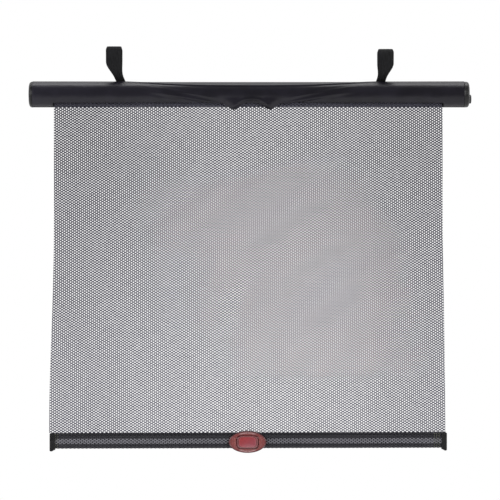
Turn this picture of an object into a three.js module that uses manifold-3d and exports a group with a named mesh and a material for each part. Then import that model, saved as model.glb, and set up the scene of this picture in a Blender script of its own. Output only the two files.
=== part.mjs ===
// Roller sunshade for a car side window: a knitted mesh screen on a spring roller inside a slotted
// tube with a soft cover, hung by two webbing loops, with a release button in its right end.
// Millimetres. +X is to the right, -Y is the side that is looked at, +Z is up. The origin is on the
// line that the loops hang from, midway between the ends of the tube.
import * as THREE from 'three';
import { mergeVertices } from 'three/addons/utils/BufferGeometryUtils.js';
import Module from 'manifold-3d';

const wasm = await Module();
wasm.setup();

// Clearances
const FIT = 0.3; // between pieces that touch

// Tube and soft cover
const BAR_LENGTH = 500; // over both end caps
const COVER_RADIUS = 14.3;
const COVER_WALL = 0.7;
const COVER_SLACK = 0.3; // how much fuller the cover is at its ends than in the middle
const TUBE_WALL = 1.1;
const SLOT_FRONT = 43; // degrees below the front where the slot starts
const SLOT_REAR = 72; // degrees below the front where it ends
const LIP_DIP = 6; // how far the cover's front lip sags at its two puckers
const LIP_DIP_WIDTH = 5.5;
const LEFT_PUCKER_X = -17;
const RIGHT_PUCKER_X = 22.5;
const CREASE_HEIGHT = 0.55;
const LIP_CLEAR = 2; // past the screen's edge, where the front lip starts down to the rear lip
const LIP_TAPER = 6;
const LIP_GAP = 2.5; // degrees left between the lips beyond the screen
const LIP_TURN = 7; // degrees above the slot's front edge where the lip starts

// End caps
const LEFT_RIM_LENGTH = 4;
const RIGHT_RIM_LENGTH = 6;
const CAP_WALL = 1.6;
const CAP_ROUND = 2.4;
const CAP_PROUD = 0.2; // how far a cap's rim stands over the cover's fullest end
const SPIGOT_LENGTH = 10;
const SPIGOT_WALL = 1.5;
const SEAT_LEDGE = 0.8; // inside the right spigot, for the button's retainer

// Roller
const ROLLER_RADIUS = 6;
const ROLLER_WALL = 1.4;
const KEYWAY_WIDTH = 2.4;
const KEYWAY_DEPTH = 0.8;
const PLUG_FLANGE_RADIUS = 6.6;
const PLUG_FLANGE = 1.2;
const PLUG_DEPTH = 13;
const ARBOR_RADIUS = 2.6;
const ARBOR_LENGTH = 88;
const LEFT_HUB_LENGTH = 8;
const HUB_WALL = 1.8;

// Counterbalance spring
const SPRING_WIRE = 0.9;
const SPRING_TURNS = 16;
const SPRING_PITCH = 3;
const COLLAR_LENGTH = 7;

// Ratchet and release button
const RATCHET_RADIUS = 7.2;
const RATCHET_DISC = 2.2;
const TOOTH_COUNT = 12;
const TOOTH_HEIGHT = 1.4;
const TOOTH_LENGTH = 2.1;
const NECK_RADIUS = 4.3;
const AXLE_RADIUS = 1.6;
const RETAINER_WALL = 1.6;
const BUTTON_RADIUS = 5;
const BUTTON_DROP = 5.2; // below the tube's axis
const BUTTON_PROUD = 2.1;
const BUTTON_TRAVEL = 2;
const BUTTON_FLANGE = 1.2;
const BUTTON_LIP = 0.9; // how far the flange stands out round the button
const PAWL_WALL = 1.2;
const PAWL_WIDTH = 5;
const PAWL_HOOK = 1.6;
const RETURN_WIRE = 0.6;
const RETURN_TURNS = 4;

// Screen
const LEFT_INSET = 29; // from the tube's end to the screen's edge
const RIGHT_INSET = 31;
const SCREEN_FLARE = 4; // how much further each side reaches at the hem
const SCREEN_DROP = 382.9; // tube axis to the top of the hem
const SCREEN_WALL = 0.6;
const COURSE_PROUD = 0.2; // how far the knit's courses stand out on each face
const COURSE_WIDTH = 3;
const GAP_COLUMNS = 10;
const GAP_ROWS = 12;
const GAP_SHARE = 0.72; // width and height of a gap as a share of its cell
const ROLL_TURNS = 1.25; // turns left on the roller when the screen is down
const ROLL_GAP = 0.3;

// Hem
const HEM_HEIGHT = 18.2;
const HEM_THICKNESS = 5.6;
const HEM_WALL = 0.6;
const BATTEN_EDGE_GAP = 0.9;
const BINDING_WALL = 0.6;
const LEFT_BINDING_LENGTH = 11;
const RIGHT_BINDING_LENGTH = 14.7;
const BINDING_DROP = 1.6; // how far a binding's lower corner hangs below the hem

// Temperature badge
const BADGE_X = -1.8;
const BADGE_WIDTH = 42.6;
const BADGE_HEIGHT = 24.6;
const BADGE_DROP = 1.6; // below the middle of the hem
const BADGE_DEPTH = 3.2;
const BADGE_BACK_DEPTH = 2.4;
const BADGE_ROUND = 1.1;
const WINDOW_WIDTH = 25.9;
const WINDOW_HEIGHT = 15.7;
const WINDOW_CORNER = 5;
const WINDOW_DEPTH = 1.1;
const INSERT_DEPTH = 0.8;
const POST_RADIUS = 1.4;
const POST_SPACING = 33;
const BADGE_RIBS = 4;
const RIB_HALF = 0.35;
const RELIEF = 0.35; // how far the ribs and arcs stand out

// Straps
const WEB_WIDTH = 18.2;
const WEB_PINCH = 9.3; // width where a loop is gathered above the cover
const WEB_WALL = 1.3;
const LOOP_DEPTH = 13; // inside, front to back
const LOOP_FLAT = 4; // flat stretch that hangs on the hook
const LEFT_RISE = 39.1; // inside of the loop above the cover
const RIGHT_RISE = 36.1;
const LEFT_LOOP_INSET = 96.8; // from the tube's end to the middle of the loop
const RIGHT_LOOP_INSET = 95.2;
const LEFT_FOOT_SHIFT = 8.1; // from the loop's middle to its foot
const RIGHT_FOOT_SHIFT = -6.1;
const TAIL_START = 58; // degrees behind the top where the sewn tail ends
const TAIL_END = 24;

// Places that follow from the sizes
const AXIS_Z = -(LEFT_RISE + COVER_RADIUS);
const FULL_RADIUS = COVER_RADIUS + COVER_SLACK;
const TUBE_RADIUS = COVER_RADIUS - COVER_WALL - FIT;
const BORE_RADIUS = TUBE_RADIUS - TUBE_WALL;
const SPIGOT_BORE = BORE_RADIUS - FIT - SPIGOT_WALL;
const RIM_RADIUS = FULL_RADIUS + CAP_PROUD;
const LEFT_END = -BAR_LENGTH / 2;
const RIGHT_END = BAR_LENGTH / 2;
const LEFT_LOOP_X = LEFT_END + LEFT_LOOP_INSET;
const RIGHT_LOOP_X = RIGHT_END - RIGHT_LOOP_INSET;
const SCREEN_WIDTH = BAR_LENGTH - LEFT_INSET - RIGHT_INSET;
const SCREEN_X = (LEFT_INSET - RIGHT_INSET) / 2;
const LEFT_RIM = LEFT_END + LEFT_RIM_LENGTH;
const RIGHT_RIM = RIGHT_END - RIGHT_RIM_LENGTH;
const ROLLER_BORE = ROLLER_RADIUS - ROLLER_WALL;
const PLUG_RADIUS = ROLLER_BORE - FIT;
const ARBOR_BORE = ARBOR_RADIUS + FIT;
const AXLE_BORE = AXLE_RADIUS + FIT;
const SCREEN_Y = -(ROLLER_RADIUS + FIT + SCREEN_WALL / 2 + (SCREEN_WALL + ROLL_GAP) * ROLL_TURNS);
const HEM_TOP = AXIS_Z - SCREEN_DROP;
const HEM_Z = HEM_TOP - HEM_HEIGHT / 2;
const HEM_HALF = SCREEN_WIDTH / 2 + SCREEN_FLARE;
const BADGE_Z = HEM_Z - BADGE_DROP;
const BADGE_BACK_Y = SCREEN_Y + HEM_THICKNESS / 2 + FIT;
const BADGE_FRONT_Y = SCREEN_Y - HEM_THICKNESS / 2 - FIT;

// Stations along the tube, from the right end inwards
const BUTTON_FACE = RIGHT_END + BUTTON_PROUD;
const FLANGE_OUT = RIGHT_END - CAP_WALL - FIT;
const FLANGE_IN = FLANGE_OUT - BUTTON_FLANGE;
const RETAINER_OUT = FLANGE_IN - BUTTON_TRAVEL - 4.2;
const RETAINER_IN = RETAINER_OUT - RETAINER_WALL;
const DISC_OUT = RETAINER_IN - FIT;
const DISC_IN = DISC_OUT - RATCHET_DISC;
const HOOK_OUT = DISC_IN - TOOTH_HEIGHT - FIT;
const HOOK_IN = HOOK_OUT - PAWL_HOOK;
const NECK_IN = HOOK_IN - BUTTON_TRAVEL - 1;
const ROLLER_RIGHT = NECK_IN - PLUG_FLANGE - FIT;
const PAWL_TOP = -(RATCHET_RADIUS + FIT);

// Stations along the tube, from the left end inwards
const HUB_END = LEFT_END + CAP_WALL + LEFT_HUB_LENGTH;
const LEFT_FLANGE = HUB_END + FIT;
const ROLLER_LEFT = LEFT_FLANGE + PLUG_FLANGE + FIT;
const LEFT_PLUG_END = LEFT_FLANGE + PLUG_FLANGE + PLUG_DEPTH;
const SPRING_START = LEFT_PLUG_END + FIT + SPRING_WIRE / 2;
const SPRING_END = SPRING_START + SPRING_TURNS * SPRING_PITCH;
const COLLAR_START = SPRING_END + SPRING_WIRE / 2 + FIT;

const radians = THREE.MathUtils.degToRad;
const smooth = THREE.MathUtils.smoothstep;

// Solids
function toManifold(geometry) {
  const bare = geometry.index ? geometry.toNonIndexed() : geometry.clone();
  bare.deleteAttribute('normal');
  bare.deleteAttribute('uv');
  const merged = mergeVertices(bare, 1e-4);
  return new wasm.Manifold(new wasm.Mesh({
    numProp: 3,
    vertProperties: new Float32Array(merged.attributes.position.array),
    triVerts: new Uint32Array(merged.index.array),
  }));
}

function toGeometry(solid) {
  const mesh = solid.getMesh();
  const geometry = new THREE.BufferGeometry();
  geometry.setAttribute('position', new THREE.BufferAttribute(mesh.vertProperties, 3));
  geometry.setIndex(new THREE.BufferAttribute(mesh.triVerts, 1));
  return geometry;
}

function cut(geometry, ...tools) {
  return toGeometry(tools.reduce((solid, tool) => solid.subtract(toManifold(tool)), toManifold(geometry)));
}

function join(geometry, ...others) {
  return toGeometry(others.reduce((solid, other) => solid.add(toManifold(other)), toManifold(geometry)));
}

// Extrudes a section drawn in (y, z) along the tube, from x = start to x = end.
function alongX(section, start, end, curveSegments = 16) {
  const settings = { depth: end - start, bevelEnabled: false, curveSegments };
  const geometry = new THREE.ExtrudeGeometry(section, settings);
  geometry.applyMatrix4(new THREE.Matrix4().makeBasis(
    new THREE.Vector3(0, 1, 0), new THREE.Vector3(0, 0, 1), new THREE.Vector3(1, 0, 0)));
  return geometry.translate(start, 0, 0);
}

// Extrudes an outline drawn in (x, z) backwards, from y = front to y = back.
function fromFront(outline, front, back, options = {}) {
  const settings = { depth: back - front, bevelEnabled: false, curveSegments: 12, ...options };
  const geometry = new THREE.ExtrudeGeometry(outline, settings);
  geometry.applyMatrix4(new THREE.Matrix4().makeBasis(
    new THREE.Vector3(1, 0, 0), new THREE.Vector3(0, 0, 1), new THREE.Vector3(0, -1, 0)));
  return geometry.translate(0, back, 0);
}

// Turns a profile of [x, radius] points round the line through (centreY, centreZ) along X.
function aboutX(profile, centreZ = AXIS_Z, segments = 24, centreY = 0) {
  const points = profile.map(([x, radius]) => new THREE.Vector2(radius, x));
  const geometry = new THREE.LatheGeometry(points, segments);
  geometry.applyMatrix4(new THREE.Matrix4().makeBasis(
    new THREE.Vector3(0, 1, 0), new THREE.Vector3(1, 0, 0), new THREE.Vector3(0, 0, -1)));
  geometry.translate(0, centreY, centreZ);
  return outwards(geometry);
}

// Turns a closed geometry's faces outwards if they point in.
function outwards(geometry) {
  const flat = geometry.index ? geometry.toNonIndexed() : geometry;
  const p = flat.attributes.position;
  const [a, b, c] = [new THREE.Vector3(), new THREE.Vector3(), new THREE.Vector3()];
  let volume = 0;
  for (let i = 0; i < p.count; i += 3) {
    a.fromBufferAttribute(p, i);
    b.fromBufferAttribute(p, i + 1);
    c.fromBufferAttribute(p, i + 2);
    volume += a.dot(b.cross(c));
  }
  if (volume >= 0) return flat;
  const turned = flat.clone();
  const q = turned.attributes.position;
  for (let i = 0; i < p.count; i += 3) {
    a.fromBufferAttribute(p, i + 1);
    b.fromBufferAttribute(p, i + 2);
    q.setXYZ(i + 1, b.x, b.y, b.z);
    q.setXYZ(i + 2, a.x, a.y, a.z);
  }
  return turned;
}

function rod(start, end, radius, centreZ = AXIS_Z, segments = 20) {
  return aboutX([[start, 0], [start, radius], [end, radius], [end, 0]], centreZ, segments);
}

function ring(start, end, inner, outer, centreZ = AXIS_Z, segments = 24) {
  const profile = [[start, inner], [start, outer], [end, outer], [end, inner], [start, inner]];
  return aboutX(profile, centreZ, segments);
}

function block(x0, x1, y0, y1, z0, z1) {
  const geometry = new THREE.BoxGeometry(x1 - x0, y1 - y0, z1 - z0);
  return geometry.translate((x0 + x1) / 2, (y0 + y1) / 2, (z0 + z1) / 2);
}

function stadium(width, height) {
  const r = Math.min(width, height) / 2;
  const flat = height / 2 - r;
  const shape = new THREE.Shape();
  shape.moveTo(r, -flat);
  shape.lineTo(r, flat);
  shape.absarc(0, flat, r, 0, Math.PI, false);
  shape.lineTo(-r, -flat);
  shape.absarc(0, -flat, r, Math.PI, 2 * Math.PI, false);
  return shape;
}

function holeOf(shape, divisions = 12) {
  return new THREE.Path(shape.getPoints(divisions).reverse());
}

function roundedRectangle(width, height, corner, x = 0, z = 0) {
  const [w, h] = [width / 2, height / 2];
  const shape = new THREE.Shape();
  shape.moveTo(x + w, z - h + corner);
  shape.absarc(x + w - corner, z + h - corner, corner, 0, Math.PI / 2, false);
  shape.absarc(x - w + corner, z + h - corner, corner, Math.PI / 2, Math.PI, false);
  shape.absarc(x - w + corner, z - h + corner, corner, Math.PI, 1.5 * Math.PI, false);
  shape.absarc(x + w - corner, z - h + corner, corner, 1.5 * Math.PI, 2 * Math.PI, false);
  return shape;
}

// A solid between rings of points: rings[i] is a closed loop, and the first and last are capped by fans.
function loft(rings) {
  const count = rings[0].length;
  const points = rings.flat();
  const faces = [];
  for (let i = 0; i + 1 < rings.length; i += 1) {
    for (let j = 0; j < count; j += 1) {
      const k = (j + 1) % count;
      const [a, b, c, d] = [i * count + j, i * count + k, (i + 1) * count + k, (i + 1) * count + j];
      faces.push(a, b, c, a, c, d);
    }
  }
  const last = (rings.length - 1) * count;
  const half = count / 2;
  for (let j = 0; j + 1 < half; j += 1) {
    const [p, q, r, s] = [j, j + 1, count - 2 - j, count - 1 - j];
    faces.push(p, r, q, p, s, r);
    faces.push(last + p, last + q, last + r, last + p, last + r, last + s);
  }
  const geometry = new THREE.BufferGeometry();
  geometry.setAttribute('position', new THREE.Float32BufferAttribute(points.flatMap((v) => [v.x, v.y, v.z]), 3));
  geometry.setIndex(faces);
  return outwards(geometry);
}

// Slotted tube
function slottedTube() {
  const from = radians(180 + SLOT_REAR);
  const to = radians(540 + SLOT_FRONT);
  const section = new THREE.Shape();
  section.absarc(0, AXIS_Z, TUBE_RADIUS, from, to, false);
  section.absarc(0, AXIS_Z, BORE_RADIUS, to, from, true);
  return alongX(section, LEFT_RIM + FIT, RIGHT_RIM - FIT, 28);
}

// Soft cover: a skin round the tube that is drawn tight between the strap feet, so it creases from
// each foot towards the middle and puckers at the front lip in two dips with an arch between.
function bell(x, centre, width) {
  return Math.exp(-(((x - centre) / width) ** 2));
}

function puckers(x) {
  return bell(x, LEFT_PUCKER_X, LIP_DIP_WIDTH) + bell(x, RIGHT_PUCKER_X, LIP_DIP_WIDTH);
}

function coverRadius(x, below) {
  const footX = x < 0 ? LEFT_LOOP_X + LEFT_FOOT_SHIFT : RIGHT_LOOP_X + RIGHT_FOOT_SHIFT;
  const puckerX = x < 0 ? LEFT_PUCKER_X : RIGHT_PUCKER_X;
  const middle = (LEFT_PUCKER_X + RIGHT_PUCKER_X) / 2;
  const along = THREE.MathUtils.clamp(x / footX, 0, 1);
  const fullness = COVER_SLACK * smooth(Math.abs(x), 60, BAR_LENGTH / 2);
  const span = Math.max(0, (x - puckerX) / (footX - puckerX));
  const between = x > LEFT_PUCKER_X && x < RIGHT_PUCKER_X;
  // Crease from the strap's foot that sags to 43 degrees above the front in the middle
  const upper = -43 - 42 * along ** 3;
  const upperCrease = CREASE_HEIGHT * bell(below, upper, 7) * smooth(1.06 - along, 0, 0.1);
  // Soft fold from the pucker up towards the foot
  const lower = 40 - 62 * span ** 0.8;
  const fade = smooth(0.85 - span, 0, 0.4) * (between ? 0 : 1);
  const lowerFold = CREASE_HEIGHT * bell(below, lower, 9) * fade;
  // Arch between the puckers, and the lip's flare at each of them
  const arch = 1.1 * bell(x, middle, 14) * bell(below, 22, 12);
  const flare = LIP_DIP * puckers(x) * smooth(below, 14, SLOT_FRONT + 8);
  return COVER_RADIUS + fullness + upperCrease + lowerFold + arch + flare;
}

function softCover() {
  const [start, end] = [LEFT_RIM + FIT, RIGHT_RIM - FIT];
  const middle = (LEFT_PUCKER_X + RIGHT_PUCKER_X) / 2;
  const reach = Math.abs(RIGHT_PUCKER_X - LEFT_PUCKER_X) + 10;
  const [inner, outer] = [18, 5];
  const open = SCREEN_WIDTH / 2 + LIP_CLEAR;
  const [left, right] = [SCREEN_X - open, SCREEN_X + open];
  const stations = [start, left - LIP_TAPER];
  for (let i = 0; i < outer; i += 1) stations.push(THREE.MathUtils.lerp(left, middle - reach, i / outer));
  for (let i = 0; i < inner; i += 1) stations.push(middle - reach + (2 * reach * i) / inner);
  for (let i = 0; i <= outer; i += 1) stations.push(THREE.MathUtils.lerp(middle + reach, right, i / outer));
  stations.push(right + LIP_TAPER, end);
  const steps = 20;
  const rings = stations.map((x) => {
    const closed = smooth(Math.abs(x - SCREEN_X), open, open + LIP_TAPER);
    const lip = THREE.MathUtils.lerp(SLOT_FRONT + 11 * puckers(x), SLOT_REAR - LIP_GAP, closed);
    const [outside, inside] = [[], []];
    for (let j = -2; j <= steps; j += 1) {
      // Angle below the front: from the front lip over the top to the rear lip
      const share = j < 0 ? -j / 2 : j / steps;
      const below = THREE.MathUtils.lerp(SLOT_FRONT - LIP_TURN, j < 0 ? lip : SLOT_REAR - 360, share);
      const radius = coverRadius(x, below);
      const wall = Math.max(radius - COVER_WALL, COVER_RADIUS - COVER_WALL);
      const [c, s] = [Math.cos(radians(below)), Math.sin(radians(below))];
      outside.push(new THREE.Vector3(x, -radius * c, AXIS_Z - radius * s));
      inside.push(new THREE.Vector3(x, -wall * c, AXIS_Z - wall * s));
    }
    return [...outside, ...inside.reverse()];
  });
  return loft(rings);
}

// End caps: a rounded cap over the cover's end with a spigot in the tube. The hollow is a list of
// [x, radius] points from the middle of the cap's inside face to the spigot's foot.
function capProfile(tip, rim, direction, hollow) {
  const outer = BORE_RADIUS - FIT;
  const foot = rim - direction * SPIGOT_LENGTH;
  const profile = [...hollow, [foot, SPIGOT_BORE], [foot, outer], [rim, outer], [rim, RIM_RADIUS]];
  const corner = tip - direction * CAP_ROUND;
  for (let i = 0; i <= 4; i += 1) {
    const turn = (Math.PI / 2) * (i / 4);
    profile.push([
      corner + direction * CAP_ROUND * 0.85 * Math.sin(turn),
      RIM_RADIUS - CAP_ROUND * (1 - Math.cos(turn)),
    ]);
  }
  profile.push([tip, RIM_RADIUS - 2.4 * CAP_ROUND], [tip, 0]);
  return profile;
}

function leftEndCap() {
  const inside = LEFT_END + CAP_WALL;
  const shell = aboutX(capProfile(LEFT_END, LEFT_RIM, -1, [[inside, 0], [inside, SPIGOT_BORE]]));
  const root = LEFT_END + CAP_WALL / 2;
  const hub = rod(root, HUB_END, ARBOR_BORE + HUB_WALL);
  const ribs = [0, 1].map((turn) => {
    const rib = block(root, HUB_END - 3, -SPIGOT_BORE - 0.5, SPIGOT_BORE + 0.5, -0.6, 0.6);
    return rib.rotateX(turn * Math.PI / 2).translate(0, 0, AXIS_Z);
  });
  const bore = rod(LEFT_END + CAP_WALL, HUB_END + 1, ARBOR_BORE);
  const flat = block(LEFT_END + CAP_WALL / 2, HUB_END, -ARBOR_BORE - 1, ARBOR_BORE + 1,
    AXIS_Z + ARBOR_RADIUS - 0.7 + FIT, AXIS_Z + ARBOR_BORE + 1);
  return join(cut(join(shell, hub, ...ribs), bore), flat);
}

function rightEndCap() {
  const [inside, ledge, seat] = [RIGHT_END - CAP_WALL, RIGHT_RIM + 0.4, RETAINER_OUT + FIT];
  const cavity = BUTTON_DROP + BUTTON_RADIUS + BUTTON_LIP + 2 * FIT;
  const shell = aboutX(capProfile(RIGHT_END, RIGHT_RIM, 1, [
    [inside, 0],
    [inside, cavity],
    [ledge, cavity],
    [ledge, SPIGOT_BORE - SEAT_LEDGE],
    [seat, SPIGOT_BORE - SEAT_LEDGE],
    [seat, SPIGOT_BORE],
  ]));
  const hole = rod(RIGHT_END - CAP_WALL - 1, RIGHT_END + 1, BUTTON_RADIUS + FIT, AXIS_Z - BUTTON_DROP, 28);
  return cut(shell, hole);
}

// Roller
function rollerTube() {
  const angle = Math.asin(KEYWAY_WIDTH / 2 / ROLLER_RADIUS);
  const floor = ROLLER_RADIUS - KEYWAY_DEPTH;
  const section = new THREE.Shape();
  section.absarc(0, AXIS_Z, ROLLER_RADIUS, angle, 2 * Math.PI - angle, false);
  section.lineTo(floor, AXIS_Z - KEYWAY_WIDTH / 2);
  section.lineTo(floor, AXIS_Z + KEYWAY_WIDTH / 2);
  section.holes.push(new THREE.Path().absarc(0, AXIS_Z, ROLLER_BORE, 0, 2 * Math.PI, true));
  return alongX(section, ROLLER_LEFT, ROLLER_RIGHT, 16);
}

function clampStrip() {
  const floor = ROLLER_RADIUS - KEYWAY_DEPTH + FIT;
  const half = KEYWAY_WIDTH / 2 - FIT;
  const [left, right] = [SCREEN_X - SCREEN_WIDTH / 2, SCREEN_X + SCREEN_WIDTH / 2];
  return block(left, right, floor, ROLLER_RADIUS, AXIS_Z - half, AXIS_Z + half);
}

// The turns that stay on the roller: a spiral wall that ends at the front, where the screen leaves
function woundScreen() {
  const pitch = SCREEN_WALL + ROLL_GAP;
  const steps = Math.ceil(ROLL_TURNS * 28);
  const start = ROLLER_RADIUS + FIT;
  const [outer, inner] = [[], []];
  for (let i = 0; i <= steps; i += 1) {
    const turned = (ROLL_TURNS * i) / steps;
    const angle = Math.PI - 2 * Math.PI * (ROLL_TURNS - turned);
    const radius = start + pitch * turned;
    const [c, s] = [Math.cos(angle), Math.sin(angle)];
    inner.push(new THREE.Vector2(radius * c, AXIS_Z + radius * s));
    outer.push(new THREE.Vector2((radius + SCREEN_WALL) * c, AXIS_Z + (radius + SCREEN_WALL) * s));
  }
  const section = new THREE.Shape([...inner, ...outer.reverse()]);
  return alongX(section, SCREEN_X - SCREEN_WIDTH / 2, SCREEN_X + SCREEN_WIDTH / 2);
}

function bearingPlug() {
  return aboutX([
    [LEFT_FLANGE, ARBOR_BORE],
    [LEFT_FLANGE, PLUG_FLANGE_RADIUS],
    [LEFT_FLANGE + PLUG_FLANGE, PLUG_FLANGE_RADIUS],
    [LEFT_FLANGE + PLUG_FLANGE, PLUG_RADIUS],
    [LEFT_PLUG_END, PLUG_RADIUS],
    [LEFT_PLUG_END, ARBOR_BORE],
    [LEFT_FLANGE, ARBOR_BORE],
  ], AXIS_Z, 24);
}

function springArbor() {
  const start = LEFT_END + CAP_WALL + FIT;
  const shaft = rod(start, start + ARBOR_LENGTH, ARBOR_RADIUS);
  const flat = block(start - 1, HUB_END + FIT, -ARBOR_RADIUS, ARBOR_RADIUS,
    AXIS_Z + ARBOR_RADIUS - 0.7, AXIS_Z + ARBOR_RADIUS + 1);
  return cut(shaft, flat);
}

// A wire coil about a line along X, with both ends closed
function coil(start, pitch, turns, radius, wire, centreZ, steps) {
  class Helix extends THREE.Curve {
    getPoint(t, target = new THREE.Vector3()) {
      const angle = 2 * Math.PI * turns * t;
      return target.set(start + pitch * turns * t, radius * Math.cos(angle), centreZ + radius * Math.sin(angle));
    }
  }
  const section = new THREE.Shape(new THREE.Path().absarc(0, 0, wire / 2, 0, 2 * Math.PI, false).getPoints(2).slice(0, -1));
  return outwards(new THREE.ExtrudeGeometry(section, { extrudePath: new Helix(), steps: turns * steps }));
}

function torsionSpring() {
  const radius = (ARBOR_RADIUS + ROLLER_BORE) / 2;
  return coil(SPRING_START, SPRING_PITCH, SPRING_TURNS, radius, SPRING_WIRE, AXIS_Z, 8);
}

function springCollar() {
  return ring(COLLAR_START, COLLAR_START + COLLAR_LENGTH, ARBOR_BORE, PLUG_RADIUS);
}

// Ratchet end of the roller: plug, flange, neck and a disc with face teeth towards the screen
function ratchetPlug() {
  const body = aboutX([
    [NECK_IN - PLUG_FLANGE - PLUG_DEPTH, AXLE_BORE],
    [NECK_IN - PLUG_FLANGE - PLUG_DEPTH, PLUG_RADIUS],
    [NECK_IN - PLUG_FLANGE, PLUG_RADIUS],
    [NECK_IN - PLUG_FLANGE, PLUG_FLANGE_RADIUS],
    [NECK_IN, PLUG_FLANGE_RADIUS],
    [NECK_IN, NECK_RADIUS],
    [DISC_IN, NECK_RADIUS],
    [DISC_IN, RATCHET_RADIUS],
    [DISC_OUT, RATCHET_RADIUS],
    [DISC_OUT, AXLE_BORE],
    [NECK_IN - PLUG_FLANGE - PLUG_DEPTH, AXLE_BORE],
  ], AXIS_Z, 24);
  const pitch = (2 * Math.PI * (RATCHET_RADIUS - TOOTH_LENGTH)) / TOOTH_COUNT;
  const saw = new THREE.Shape([
    new THREE.Vector2(-pitch / 2, -0.4),
    new THREE.Vector2(pitch / 2, -0.4),
    new THREE.Vector2(pitch / 2, TOOTH_HEIGHT),
  ]);
  const teeth = Array.from({ length: TOOTH_COUNT }, (_, i) => {
    const tooth = new THREE.ExtrudeGeometry(saw, { depth: TOOTH_LENGTH, bevelEnabled: false });
    tooth.applyMatrix4(new THREE.Matrix4().makeBasis(
      new THREE.Vector3(0, 1, 0), new THREE.Vector3(-1, 0, 0), new THREE.Vector3(0, 0, 1)));
    tooth.translate(DISC_IN, 0, RATCHET_RADIUS - 0.15 - TOOTH_LENGTH);
    return tooth.rotateX((2 * Math.PI * i) / TOOTH_COUNT).translate(0, 0, AXIS_Z);
  });
  return join(body, ...teeth);
}

function axlePin() {
  const headOut = RETAINER_OUT + FIT + 1;
  return aboutX([
    [ROLLER_RIGHT - PLUG_DEPTH / 2, 0],
    [ROLLER_RIGHT - PLUG_DEPTH / 2, AXLE_RADIUS],
    [RETAINER_OUT + FIT, AXLE_RADIUS],
    [RETAINER_OUT + FIT, AXLE_RADIUS + 0.5],
    [headOut, AXLE_RADIUS + 0.5],
    [headOut, 0],
  ], AXIS_Z, 20);
}

function buttonRetainer() {
  const plate = ring(RETAINER_IN, RETAINER_OUT, AXLE_BORE, SPIGOT_BORE - FIT, AXIS_Z, 28);
  const slot = block(RETAINER_IN - 1, RETAINER_OUT + 1, -PAWL_WIDTH / 2 - FIT, PAWL_WIDTH / 2 + FIT,
    AXIS_Z + PAWL_TOP - PAWL_WALL - FIT, AXIS_Z + PAWL_TOP + FIT);
  return cut(plate, slot);
}

// Button with its post and pawl: the pawl's hook stands behind the ratchet's teeth until it is pressed
function releaseButton() {
  const centre = AXIS_Z - BUTTON_DROP;
  const head = aboutX([
    [FLANGE_IN, 0],
    [FLANGE_IN, BUTTON_RADIUS + BUTTON_LIP],
    [FLANGE_OUT, BUTTON_RADIUS + BUTTON_LIP],
    [FLANGE_OUT, BUTTON_RADIUS],
    [BUTTON_FACE - 0.8, BUTTON_RADIUS],
    [BUTTON_FACE - 0.2, BUTTON_RADIUS - 0.5],
    [BUTTON_FACE, BUTTON_RADIUS - 1.2],
    [BUTTON_FACE, 0],
  ], centre, 28);
  const springRadius = BUTTON_DROP - AXLE_RADIUS - 0.5 - FIT;
  const post = rod(RETAINER_OUT + BUTTON_TRAVEL + 1, FLANGE_IN + 0.4, springRadius - RETURN_WIRE - 0.6, centre, 16);
  const blade = block(HOOK_IN, FLANGE_IN + 0.4, -PAWL_WIDTH / 2, PAWL_WIDTH / 2,
    AXIS_Z + PAWL_TOP - PAWL_WALL, AXIS_Z + PAWL_TOP);
  const hook = block(HOOK_IN, HOOK_OUT, -PAWL_WIDTH / 2, PAWL_WIDTH / 2,
    AXIS_Z + PAWL_TOP - PAWL_WALL / 2, AXIS_Z + PAWL_TOP + TOOTH_LENGTH);
  return join(head, post, blade, hook);
}

function buttonSpring() {
  const length = FLANGE_IN - RETAINER_OUT - 2 * FIT - RETURN_WIRE;
  const radius = BUTTON_DROP - AXLE_RADIUS - 0.5 - FIT - RETURN_WIRE / 2;
  return coil(RETAINER_OUT + FIT + RETURN_WIRE / 2, length / RETURN_TURNS, RETURN_TURNS,
    radius - 0.4, RETURN_WIRE, AXIS_Z - BUTTON_DROP, 8);
}

// Screen: one wall with raised courses and staggered gaps, drawn a little wider at the hem
function screenHalf(z) {
  const low = HEM_TOP + FIT;
  const flared = smooth(low + 0.62 * SCREEN_DROP - z, 0, 0.62 * SCREEN_DROP);
  return SCREEN_WIDTH / 2 + SCREEN_FLARE * flared;
}

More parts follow.
